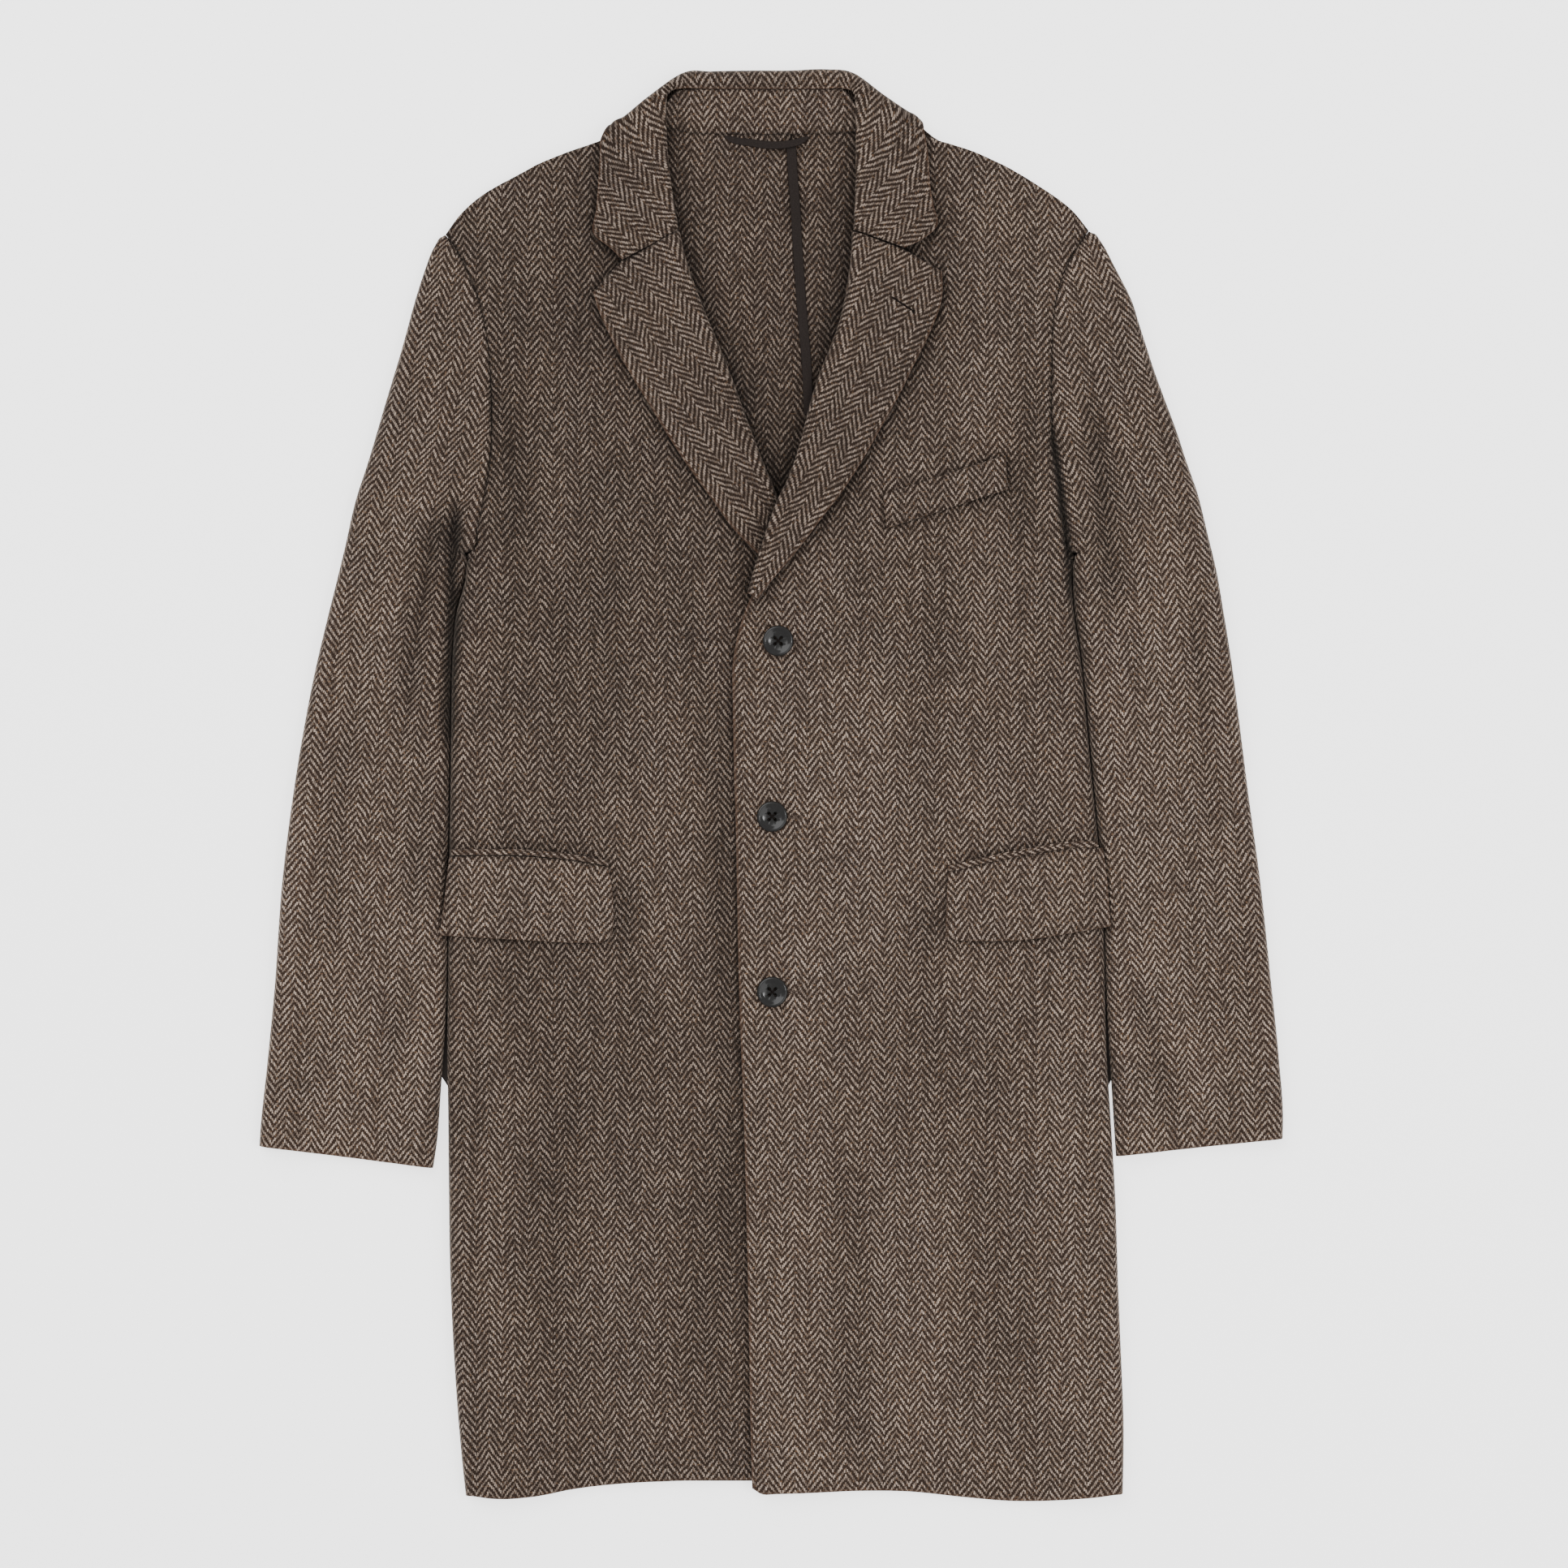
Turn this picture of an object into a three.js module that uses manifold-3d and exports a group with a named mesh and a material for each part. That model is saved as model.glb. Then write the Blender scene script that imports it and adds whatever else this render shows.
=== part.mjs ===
// A long wool overcoat, buttoned, lying on its back. Millimetres, +Z up, head toward +Y, front up.
// "Right" and "left" are the wearer's: the right side lies toward -X, the left side toward +X.
// "Out" is the distance from the X = 0 line toward the sleeve of the side that a table is for.
import * as THREE from 'three';
import Module from 'manifold-3d';

// Cloth thickness of each kind of piece.
const CLOTH = 2.5;
const LAPEL_CLOTH = 3.4;
const COLLAR_CLOTH = 3.2;
const STAND_CLOTH = 2.8;
const FLAP_CLOTH = 3;
const WELT_CLOTH = 2;
const JET_CLOTH = 1.6;
const TAPE_CLOTH = 0.9;
// Gaps: where a piece lies on another, along a seam, and between a roll line and its front.
const REST = 0.8;
const SEAM = 0.3;
const ROLL_GAP = 2.2;

// How a panel drapes over what is under it.
const CELL = 4;
const PILE_LOW = [-400, -540];
const PILE_CELLS = [200, 270];
const DRAPE_RADIUS = 85;
const DRAPE_REACH = 32;

// Body sizes.
const HEM_Y = -500;
const HEM_FADE = 120;
const ARMPIT_Y = 159;
const SIDE_SEAM_IN = 45;
const SIDE_SEAM_LEAST = 2;
const SIDE_SEAM_TURN = 60;
const SIDE_LOFT_RUN = 85;
const SHOULDER_LOFT_RUN = 95;
const FRONT_LEAST_HEIGHT = 4;
const FOLD_LEAD = 8;
const FRONT_END_LEAD = 16;
const FRONT_END_PARTS = 7;
const EDGE_ROW_SPACING = 3;
const INNER_EDGE_STEPS = 12;
const NECK_OUT = 89;
const BACK_HEM_UP = 7;
const BACK_HEM_BAND = 30;
// The back rises over the collar that folds under it: lift, and where it starts and ends.
const COLLAR_UNDER_LIFT = 4;
const COLLAR_LIFT_Y = [392, 434];
const COLLAR_LIFT_OUT = [168, 120];

// Round fold at each side of the body: [y, radius of the middle of the cloth].
const SIDE_ROLL = [[-510, 4.3], [-300, 5], [0, 5.4], [159, 5.8], [480, 5.8]];
// Back neckline: [out, y].
const BACK_NECK = [[0, 461.5], [50, 462], [70, 465], [89, 474]];
// Column places over a back: out.
const BACK_OUTS = [50, 70, 89, 120];
// Centre-back seam, skewed as the back lies: [y, x].
const CENTRE_SEAM = [[-510, 12], [-250, 18], [0, 24], [200, 28], [265, 27], [316, 23.5], [367, 19.5],
  [412, 17], [480, 13]];
// Rows of the body up to the armpit: y.
const BODY_ROWS = [-500, -488, -455, -405, -350, -295, -240, -185, -130, -80, -35, 10, 55, 90, 120,
  145, 159];
// Rows that turn round the side fold at the armpit: [outer y, rise at the inner edge, fold share].
const ARMPIT_TURN = [[160.5, 2.5, 0.66], [162.5, 4, 0.33]];
const ARMPIT_RISE = 7;
// Column places from the inner edge of a front: run.
const FRONT_INNER_RUNS = [0, 7, 15, 25, 38, 54, 72];
// Column shares over the rest of a front's top.
const FRONT_TOP_SHARES = [0.22, 0.43, 0.62, 0.8];

// Each side of the coat, with distances as [y, out] for fold, edges and sleeves, and [out, y] for the
// armhole, hem and shoulder. Roll line rows: [out, y, edge out, edge y, roll radius, bow to the notch].
const RIGHT = {
  sign: -1,
  fold: [[-510, 215], [-493, 217], [-445, 221.5], [-389.5, 225], [-324, 227.5], [-258, 228], [-192, 229],
    [-128.5, 228.5], [-42.5, 227.5], [25, 226.5], [76, 226], [118.5, 223], [159, 214], [166, 217.5],
    [200, 218], [265, 217], [302, 218], [343, 225], [370, 236], [390, 248], [480, 252]],
  armhole: [[210, 166], [207.7, 180], [202.5, 205], [198.4, 235], [198, 265], [198.7, 293],
    [201.7, 320], [207, 343], [214.5, 362], [221, 375], [226, 383], [230.5, 388.5]],
  hem: [[-40, -493], [14.5, -492], [38.5, -492], [83, -493.5], [115.5, -495.5], [149, -500], [171, -504],
    [192.5, -505], [212.5, -502.5], [230, -495]],
  shoulder: [[89, 474], [107, 461], [123.6, 454], [155, 443], [181, 430], [204, 417], [219.6, 403.4],
    [230.5, 388.5]],
  frontEdge: [[-510, -36], [0, -37.5], [60, -38.3], [107, -38.5]],
  frontNeck: [[394, 72], [423.5, 77], [452, 81.5], [474, 89]],
  rollLine: [[64.5, 390.9, 125, 347.8, 4, 6.4], [60.5, 373, 121.5, 336, 4, 3.2],
    [54, 353.5, 112.5, 316, 3.9, 0],
    [45.5, 331.5, 100.5, 293.5, 3.8, 0], [36, 308.5, 84.5, 267, 3.6, 0], [27, 285.5, 68.5, 241, 3.4, 0],
    [16.5, 256.5, 53, 218, 3.1, 0], [7, 231.5, 39, 199, 2.8, 0], [-3, 207.5, 26, 181, 2.5, 0],
    [-14.5, 179, 7, 161.5, 2.3, 0], [-26, 148.5, -12.5, 140.5, 2.1, 0], [-32.8, 125, -26, 121.5, 1.9, 0]],
  notchShare: 0.63,
  sleeveOut: [[-255.5, 362], [-247, 361.5], [-193.5, 356], [-141.5, 351], [-93.5, 348], [-44.5, 343],
    [12.5, 335], [68.5, 325], [118.5, 313.5], [154.5, 304.5], [173.5, 300], [198, 294.5], [231, 284],
    [267, 273.5], [308.5, 261], [346.5, 250.5], [358.5, 246.5], [370, 242.5], [378.5, 239], [384.5, 235.3]],
  sleeveIn: [[-271, 239], [-262.5, 237.5], [-233.7, 234.6], [-209, 233], [-192, 231.7]],
};
const LEFT = {
  sign: 1,
  fold: [[-510, 248.5], [-497.5, 249], [-455.5, 249.5], [-412, 248], [-367.5, 246], [-301.5, 244],
    [-264, 242], [-180.5, 237], [-103, 235.5], [-41.5, 231.5], [-1, 227.5], [37.5, 224], [89, 219],
    [137.5, 213], [159, 213.5], [166, 217.5], [200, 218], [265, 217], [302, 217], [343, 224],
    [370, 236], [390, 248], [480, 252]],
  armhole: [[209.6, 166], [208, 180], [204.5, 205], [200.3, 235], [198.3, 265], [198.5, 293],
    [198.8, 320], [201.7, 343], [207.2, 362], [213.5, 375], [219.5, 384], [224.5, 391.5]],
  hem: [[-12, -497.5], [-8, -501.5], [15, -501], [59, -499.5], [103.5, -500], [125.5, -502.5],
    [147, -505], [169, -506.5], [202.5, -506], [224, -504], [244, -501.5], [252, -497.5]],
  shoulder: [[89, 474], [101, 462.6], [115, 455.8], [138, 449], [166, 436.7], [192, 421.2], [212, 406.5],
    [224.5, 391.5]],
  frontEdge: [[-510, -12.5], [-455.5, -14], [-389.5, -15], [-324, -16.5], [-258, -18], [-206, -20],
    [-129, -22.5], [-26, -24.5], [25, -26], [76, -26.5], [107, -24.5]],
  frontNeck: [[394, 66], [423.5, 75], [452, 81], [474, 89]],
  rollLine: [[57.2, 391.2, 121, 362.4, 4, 3.2], [57, 378.5, 121, 345, 4, 1.4],
    [54.5, 357, 114, 323, 4, 0], [49.5, 331.5, 104, 302.5, 3.9, 0], [41.5, 308.5, 91.5, 277, 3.8, 0],
    [33.5, 288.5, 78, 252.5, 3.6, 0], [27.5, 268, 64.5, 229, 3.4, 0], [20, 239, 51.5, 209, 3.1, 0],
    [12, 216, 37, 189.5, 2.8, 0], [4.5, 200.5, 24, 172, 2.5, 0], [-3, 179, 11, 156, 2.3, 0],
    [-9, 160.5, 1, 144.5, 2.1, 0], [-16.5, 136, -9.5, 131, 1.9, 0]],
  notchShare: 0.55,
  sleeveOut: [[-250.5, 362], [-247, 362.5], [-219, 361.5], [-167.5, 356.5], [-116.5, 351.5], [-78, 347.5],
    [-39.5, 342], [-1, 337], [50.5, 330.5], [89, 325.5], [120, 320.5], [156.5, 314], [182.5, 307.5],
    [205, 302], [226.5, 294.5], [251, 286.5], [288.5, 272.5], [325.5, 260.5], [346.5, 253.5],
    [358.5, 247], [370, 241], [380.5, 235.5], [386.5, 230.5]],
  sleeveIn: [[-263, 244], [-240, 242.5], [-192, 239.5]],
};

const LAPEL_FALL_ROLLS = 8;
const LAPEL_SINK = 0.5;

// Sleeve rows, cuff to armpit: [outer y, inner y, fold radius out, fold radius in, middle height].
const SLEEVE_ROWS = [[0, 0, 4.3, 4, 5.8], [12, 13, 4.5, 4.2, 5.9], [56, 59, 4.8, 4.5, 6],
  [110, 115, 5, 4.7, 6.2], [188, 197, 5.2, 4.9, 6.4], [238, 249, 5.2, 5, 6.6],
  [288, 296, 5.3, 5.1, 7], [333, 334, 5.4, 5.2, 7.6], [372, 366, 5.5, 5.2, 8.4],
  [402, 391, 5.6, 5.2, 9.2], [428, 412, 5.6, 5.2, 9.8], [448, 426, 5.7, 5.2, 10.4]];
const SLEEVE_LAST_WRAP = 7.4;
const SLEEVE_TOP_Y = 157.5;
// Sleeve rows that turn round the inner fold at the armpit: [outer y, inner y, share of the fold].
const SLEEVE_TURN = [[201, 160.5, 0.66], [207, 162.5, 0.33]];
const SLEEVE_TURN_SIZES = { rollOut: 5.7, rollIn: 5.2, middle: 10.9 };
// Sleeve cap rows, one for each armhole point: [outer y, fold radius out, middle height].
const CAP_ROWS = [[214, 5.7, 11.2], [226, 5.7, 11.6], [246, 5.7, 11.8], [268, 5.6, 11.8], [288, 5.5, 11.6],
  [306, 5.3, 11.2], [323, 5, 10.6], [339, 4.5, 9.6], [354, 3.9, 8.4], [366, 3.2, 7.2], [376, 2.4, 6],
  [384.5, 1.7, 4.9]];
const CAP_TOP_Y = 388.5;
const CAP_END_RUN = 12;
const CAP_END_SHARE = 0.3;
const SLEEVE_WRAP = 22;
const SLEEVE_WRAP_SHARE = 0.4;
const SLEEVE_LOFT_RUN = 48;
const SLEEVE_AWAY = 0.8;
const SLEEVE_AWAY_RUN = 30;
const SLEEVE_TOP_SHARES = [0.14, 0.29, 0.43, 0.57, 0.71, 0.86];

// Collar fall, from the right gorge round the neck: at the roll, at the fold that lies on the floor,
// and at the outer edge. A wrap goes on under the coat, and a back row is sewn to the stand.
const COLLAR_ROWS = [
  { at: [-65.4, 391.7], edge: [-105, 370.8] },
  { at: [-66.7, 400.5], edge: [-113.9, 379.4] },
  { at: [-67.3, 405.1], edge: [-125.4, 389] },
  { at: [-69, 414.9], edge: [-123.6, 405.1] },
  { at: [-71.3, 432.1], edge: [-121.9, 426.4] },
  { at: [-73, 449.4], edge: [-120.8, 444.2] },
  { at: [-73.6, 463], edge: [-120.2, 455.7] },
  { at: [-73.6, 474], fold: [-114.2, 465.2], edge: [-114.2, 465.2] },
  { at: [-73.6, 477.5], fold: [-111.5, 467.6], edge: [-108.3, 463.4], wrap: true },
  { at: [-73.6, 481], fold: [-107.5, 468.8], edge: [-100.6, 450], wrap: true },
  { at: [-72.5, 489], fold: [-88.3, 484.2], edge: [-84, 445], wrap: true },
  { at: [-66, 491.7], fold: [-62.5, 503], edge: [-64, 443.6], wrap: true, back: true },
  { at: [-42, 491.7], fold: [-42, 504.6], edge: [-42, 443.6], wrap: true, back: true },
  { at: [-14, 491.7], fold: [-14, 505.2], edge: [-14, 443.6], wrap: true, back: true },
  { at: [14, 491.7], fold: [14, 505.2], edge: [14, 443.6], wrap: true, back: true },
  { at: [38, 491.7], fold: [40, 506], edge: [40, 443.6], wrap: true, back: true },
  { at: [53, 491.7], fold: [58, 503.6], edge: [58, 443.6], wrap: true, back: true },
  { at: [58.7, 487.5], fold: [80.5, 486.6], edge: [76, 445], wrap: true },
  { at: [59.2, 478.1], fold: [98.4, 474.2], edge: [90.9, 450], wrap: true },
  { at: [59.6, 474], fold: [103.2, 471.8], edge: [100.6, 467.8], wrap: true },
  { at: [59.8, 470], fold: [106.8, 468.3], edge: [106.8, 468.3] },
  { at: [59.8, 461.5], edge: [108.6, 458.4] },
  { at: [59.8, 446.5], edge: [111, 444.2] },
  { at: [59.8, 429.2], edge: [112.4, 423.5] },
  { at: [59.2, 414.9], edge: [115, 408.5] },
  { at: [58.7, 405.1], edge: [117.6, 395.3] },
  { at: [58.7, 399.3], edge: [107.2, 385.4] },
  { at: [58.2, 392.1], edge: [94.2, 379.4] },
];
const COLLAR_TOP_HEIGHT = 11.8;
const COLLAR_SINK = 0.3;
const COLLAR_LEAST_ROLL = 1.9;
const COLLAR_EDGE_RUN = 10;
// Inner leaf of the collar's roll: where its height is read, its share of the pile, and its clearance.
const COLLAR_LEAF_AT = 8;
const COLLAR_LEAF_SHARE = 0.5;
const COLLAR_LEAF_GAP = 1.3;
// Rise from the stand to the top of the collar: start and step of the ease, last place as a share.
const BACK_RISE_START = 0.25;
const BACK_RISE_STEP = 0.15;
const BACK_RISE_END = 0.8;
const STAND_TOP_HEIGHT = 10.4;
const STAND_ENDS = [-72.9, 58];
const STAND_EDGE = [[-72.9, 480], [-71.3, 486], [-68, 489], [-61, 490.8], [-52, 491.3], [42, 491.3],
  [50, 490.6], [55, 487.5], [58, 479]];
const STAND_FOOT_GAP = 1.2;
const STAND_CURVE = 0.8;

// Plan outlines of small pieces, row by row from the top: each row a list of [x, y].
const FLAP_RIGHT = [
  [[-227, -50.9], [-200, -50.4], [-174.8, -50.9], [-145, -53.5], [-115.4, -58.4]],
  [[-228.5, -64], [-201, -64], [-174, -65], [-144, -68], [-112.6, -73]],
  [[-230.5, -80], [-203, -80], [-174, -81], [-144, -84], [-111.6, -89]],
  [[-232.5, -95], [-205, -95.5], [-175, -97], [-144, -99], [-111.9, -101]],
  [[-233.6, -103], [-206, -104.2], [-175, -106], [-144, -107.8], [-114, -107.6]],
  [[-234, -106.7], [-206, -108], [-175, -110], [-145, -111.7], [-120, -112]],
];
const FLAP_LEFT = [
  [[234, -45], [211, -45.4], [188.6, -48.9], [161, -54.1], [126, -62.4]],
  [[236, -58], [212, -60], [188, -64], [160, -69], [125, -76]],
  [[237.6, -74], [212.5, -76], [187, -80], [159, -85], [124.4, -91]],
  [[238.6, -88], [212.5, -91], [186, -95], [158, -99], [124.2, -102]],
  [[239.4, -96], [212.5, -100], [185.5, -104], [157.5, -107], [125.4, -107]],
  [[240, -99.8], [212, -104.6], [185, -108.8], [157, -110.5], [131, -109.8]],
];
const JET_RIGHT = [
  [[-225.5, -46], [-203.5, -45.7], [-174.8, -46], [-146, -48.6], [-115, -54]],
  [[-225.5, -50.2], [-203.5, -49.8], [-174.8, -50.3], [-145.5, -52.9], [-115.2, -57.7]],
];
const JET_LEFT = [
  [[230.6, -40.4], [211, -40.6], [188.6, -44.2], [161, -49.4], [125, -58.2]],
  [[231.2, -44.3], [211, -44.7], [188.6, -48.2], [161, -53.4], [125.8, -61.7]],
];
const CHEST_WELT = [
  [[79.3, 205], [100.9, 211.9], [122.5, 218.8], [144, 225.7], [165.6, 232.6]],
  [[80.1, 197], [101.5, 203.9], [123, 210.8], [144.6, 217.7], [166.2, 224.6]],
  [[80.9, 189], [102.2, 195.9], [123.6, 202.8], [145.2, 209.6], [166.8, 216.4]],
  [[81.7, 181], [102.9, 187.9], [124.2, 194.8], [145.8, 201.7], [167.3, 208.5]],
];
// Tape paths: [x, y]. Tape widths: [share of the path, width].
const LOOP_PATH = [[-32.8, 458.3], [-25.9, 455.6], [-14.4, 453.9], [-2.9, 452.2], [8.6, 452.2],
  [20.1, 454.6], [26.5, 457.8]];
const LOOP_WIDTHS = [[0, 1.2], [0.14, 4.4], [0.5, 5.4], [0.84, 4.8], [1, 1.2]];
const BINDING_PATH = [[14.3, 451.5], [15.6, 430], [17, 412], [19.2, 375], [22, 335], [25, 300], [27, 262]];
const BINDING_WIDTHS = [[0, 6.9], [1, 6.9]];
// Buttons: centre [x, y], gap above the front, how far round the centre the front's height is read.
const BUTTONS = [[5, 101.4], [0.8, -22.7], [0.9, -146.6]];
const BUTTON_SHANK = 0.35;
const BUTTON_SEAT = 5;
const BUTTON_HOLE_RADIUS = 1.05;
const BUTTON_HOLE_AT = 1.85;
const BUTTON_SEGMENTS = 30;
const HOLE_CUT = 12;
const HOLE_SEGMENTS = 10;
// Button section: [radius, height].
const BUTTON_SECTION = [[0, 0], [8.6, 0], [10.4, 1.1], [10.9, 2.3], [10.3, 3.5], [9.3, 3.9], [8.2, 3.5],
  [6.6, 2.7], [0, 2.5]];

// Small helpers.
const mix = (a, b, t) => a + (b - a) * t;
const held = (v, low, high) => Math.min(high, Math.max(low, v));
const eased = (t) => { const s = held(t, 0, 1); return s * s * (3 - 2 * s); };
/** The larger of two heights, rounded where they cross. */
const softMax = (a, b) => 0.5 * (a + b + Math.hypot(a - b, 1));
const distance = (a, b) => Math.hypot(b[0] - a[0], b[1] - a[1]);

/** Smooth value of a two-column table at a key, without overshoot; keys rise down the table. */
function valueAt(table, key) {
  const last = table.length - 1;
  if (key <= table[0][0]) return table[0][1];
  if (key >= table[last][0]) return table[last][1];
  let i = 0;
  while (table[i + 1][0] < key) i += 1;
  const slope = (k) => (table[k + 1][1] - table[k][1]) / (table[k + 1][0] - table[k][0]);
  const bend = (k) => {
    if (k === 0) return slope(0);
    if (k === last) return slope(last - 1);
    const before = slope(k - 1);
    const after = slope(k);
    return before * after <= 0 ? 0 : 2 * before * after / (before + after);
  };
  const step = table[i + 1][0] - table[i][0];
  const t = (key - table[i][0]) / step;
  const a = table[i][1];
  const b = table[i + 1][1];
  const h = t * t * (3 - 2 * t);
  return mix(a, b, h) + step * (t * (1 - t) * (1 - t) * bend(i) - t * t * (1 - t) * bend(i + 1));
}

/** Height map of solids that lie under a panel. */
class Pile {
  constructor(pieces) {
    this.low = PILE_LOW;
    [this.wide, this.long] = PILE_CELLS;
    this.top = new Float32Array(this.wide * this.long);
    for (const piece of pieces) this.add(piece.geometry);
  }

  add(geometry) {
    const p = geometry.attributes.position;
    const index = geometry.index.array;
    for (let k = 0; k < index.length; k += 3) {
      const [a, b, c] = [0, 1, 2].map((n) => new THREE.Vector3().fromBufferAttribute(p, index[k + n]));
      const ab = distance([a.x, a.y], [b.x, b.y]);
      const ac = distance([a.x, a.y], [c.x, c.y]);
      const bc = distance([b.x, b.y], [c.x, c.y]);
      const steps = Math.ceil(Math.max(ab, ac, bc) / (CELL / 2)) + 1;
      for (let i = 0; i <= steps; i += 1) {
        for (let j = 0; j <= steps - i; j += 1) {
          const u = i / steps;
          const v = j / steps;
          this.raise(mix(a.x, b.x, u) + (c.x - a.x) * v, mix(a.y, b.y, u) + (c.y - a.y) * v,
            mix(a.z, b.z, u) + (c.z - a.z) * v);
        }
      }
    }
  }

  raise(x, y, z) {
    const i = Math.floor((x - this.low[0]) / CELL);
    const j = Math.floor((y - this.low[1]) / CELL);
    const at = j * this.wide + i;
    this.top[at] = Math.max(this.top[at], z);
  }

  /** Height of a cloth's underside over the pile, rounded off as stiff cloth rounds over a step. */
  over(x, y) {
    const reach = Math.ceil(DRAPE_REACH / CELL);
    const i0 = Math.floor((x - this.low[0]) / CELL);
    const j0 = Math.floor((y - this.low[1]) / CELL);
    let best = 0;
    for (let j = Math.max(0, j0 - reach); j <= Math.min(this.long - 1, j0 + reach); j += 1) {
      for (let i = Math.max(0, i0 - reach); i <= Math.min(this.wide - 1, i0 + reach); i += 1) {
        const dx = this.low[0] + (i + 0.5) * CELL - x;
        const dy = this.low[1] + (j + 0.5) * CELL - y;
        const away = Math.max(0, Math.hypot(dx, dy) - CELL / 2);
        best = Math.max(best, this.top[j * this.wide + i] - away * away / (2 * DRAPE_RADIUS));
      }
    }
    return best;
  }
}

/** Closed wall on both sides of a grid of middle points. */
function wall(rows, thickness) {
  const height = rows.length;
  const width = rows[0].length;
  const at = (i, j) => new THREE.Vector3(...rows[held(i, 0, height - 1)][held(j, 0, width - 1)]);
  const points = [];
  for (const face of [0.5, -0.5]) {
    for (let i = 0; i < height; i += 1) {
      for (let j = 0; j < width; j += 1) {
        const along = at(i + 1, j).sub(at(i - 1, j));
        const over = at(i, j + 1).sub(at(i, j - 1));
        const normal = over.cross(along).normalize();
        const point = at(i, j).addScaledVector(normal, face * thickness);
        points.push(point.x, point.y, point.z);
      }
    }
  }
  const faces = [];
  const count = width * height;
  const quad = (a, b, c, d) => faces.push(a, b, c, a, c, d);
  for (let i = 0; i < height - 1; i += 1) {
    for (let j = 0; j < width - 1; j += 1) {
      const a = i * width + j;
      quad(a, a + 1, a + width + 1, a + width);
      quad(count + a, count + a + width, count + a + width + 1, count + a + 1);
    }
  }
  const rim = (a, b) => quad(b, a, a + count, b + count);
  for (let j = 0; j < width - 1; j += 1) {
    rim(j, j + 1);
    rim((height - 1) * width + j + 1, (height - 1) * width + j);
  }
  for (let i = 0; i < height - 1; i += 1) {
    rim((i + 1) * width, i * width);
    rim(i * width + width - 1, (i + 1) * width + width - 1);
  }
  const geometry = new THREE.BufferGeometry();
  geometry.setAttribute('position', new THREE.Float32BufferAttribute(points, 3));
  geometry.setIndex(faces);
  if (volumeOf(geometry) < 0) {
    for (let k = 0; k < faces.length; k += 3) [faces[k], faces[k + 1]] = [faces[k + 1], faces[k]];
    geometry.setIndex(faces);
  }
  geometry.computeVertexNormals();
  return geometry;
}

/** Six times the volume that a closed surface holds, under zero if it is inside out. */
function volumeOf(geometry) {
  const p = geometry.attributes.position;
  const index = geometry.index.array;
  let volume = 0;
  for (let k = 0; k < index.length; k += 3) {
    const [a, b, c] = [0, 1, 2].map((n) => new THREE.Vector3().fromBufferAttribute(p, index[k + n]));
    volume += a.dot(b.cross(c));
  }
  return volume;
}

const coat = new THREE.Group();
coat.name = 'wool_overcoat';

function node(name, geometry, color, roughness) {
  const mesh = new THREE.Mesh(geometry, new THREE.MeshStandardMaterial({ color, roughness, metalness: 0 }));
  mesh.name = name;
  coat.add(mesh);
  return mesh;
}

const WOOL = 0x5f5249;
const TAPE = 0x2e231f;
const HORN = 0x26231f;

// Body surfaces.
const rollAt = (y) => valueAt(SIDE_ROLL, y);
const splitAt = (side, y) => valueAt(side.fold, y) - CLOTH / 2 - rollAt(y);
const shoulderTop = (side, out) => (out < NECK_OUT
  ? valueAt(BACK_NECK, Math.abs(out))
  : valueAt(side.shoulder, out));

/** Height of the middle of a front where it lies on the pile or is held up by the side fold. */
function frontHeight(side, pile, out, y) {
  const flat = pile.over(side.sign * out, y) + REST + CLOTH / 2;
  const away = (splitAt(side, y) - out) / SIDE_LOFT_RUN;
  const fall = 0.5 + 0.5 * Math.cos(Math.PI * held(away, 0, 1));
  const shoulder = eased((shoulderTop(side, out) - y) / SHOULDER_LOFT_RUN);
  const lift = (CLOTH / 2 + 2 * rollAt(y) - FRONT_LEAST_HEIGHT) * fall * shoulder;
  return softMax(flat, FRONT_LEAST_HEIGHT + lift);
}

/** Point of a front at a run past the top of the side fold: round the fold, then under the coat. */
function bodyPoint(side, pile, run, y) {
  const split = splitAt(side, y);
  if (run <= 0) return [side.sign * (split + run), y, frontHeight(side, pile, split + run, y)];
  const top = frontHeight(side, pile, split, y);
  const roll = (top - CLOTH / 2) / 2;
  const bend = Math.PI * roll;
  if (run < bend) {
    const angle = run / roll;
    return [side.sign * (split + roll * Math.sin(angle)), y, CLOTH / 2 + roll + roll * Math.cos(angle)];
  }
  return [side.sign * (split - (run - bend)), y, CLOTH / 2];
}

/** Y of a row above the armpit, from level at the armpit to the shoulder and neck lines. */
const rowShare = (side, out, y) => (y - ARMPIT_Y) / (shoulderTop(side, out) - ARMPIT_Y);
const rowY = (side, share, out) => mix(ARMPIT_Y, shoulderTop(side, out), share);
const hemWave = (side, out, y) => {
  const fade = held(1 - (y - HEM_Y) / HEM_FADE, 0, 1);
  return (valueAt(side.hem, out) - HEM_Y) * fade;
};
const bendRun = (y) => Math.PI * rollAt(y);
const underRun = (side, y) => {
  const full = SIDE_SEAM_IN - rollAt(y) - CLOTH / 2;
  return mix(SIDE_SEAM_LEAST, full, eased((ARMPIT_Y - y) / SIDE_SEAM_TURN));
};

/** Inner boundary of a front: edge, roll line moved back by the roll, neckline: [y, out]. */
function innerEdge(side) {
  const above = side.rollLine.map(([out, y, edgeOut, edgeY, roll]) => {
    const length = distance([out, y], [edgeOut, edgeY]);
    const back = (LAPEL_CLOTH / 2 + roll + ROLL_GAP) / length;
    return [mix(y, edgeY, back), mix(out, edgeOut, back)];
  });
  return [...side.frontEdge, ...above, ...side.frontNeck].sort((a, b) => a[0] - b[0])
    .filter((row, i, all) => i === 0 || row[0] - all[i - 1][0] > EDGE_ROW_SPACING);
}

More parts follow.
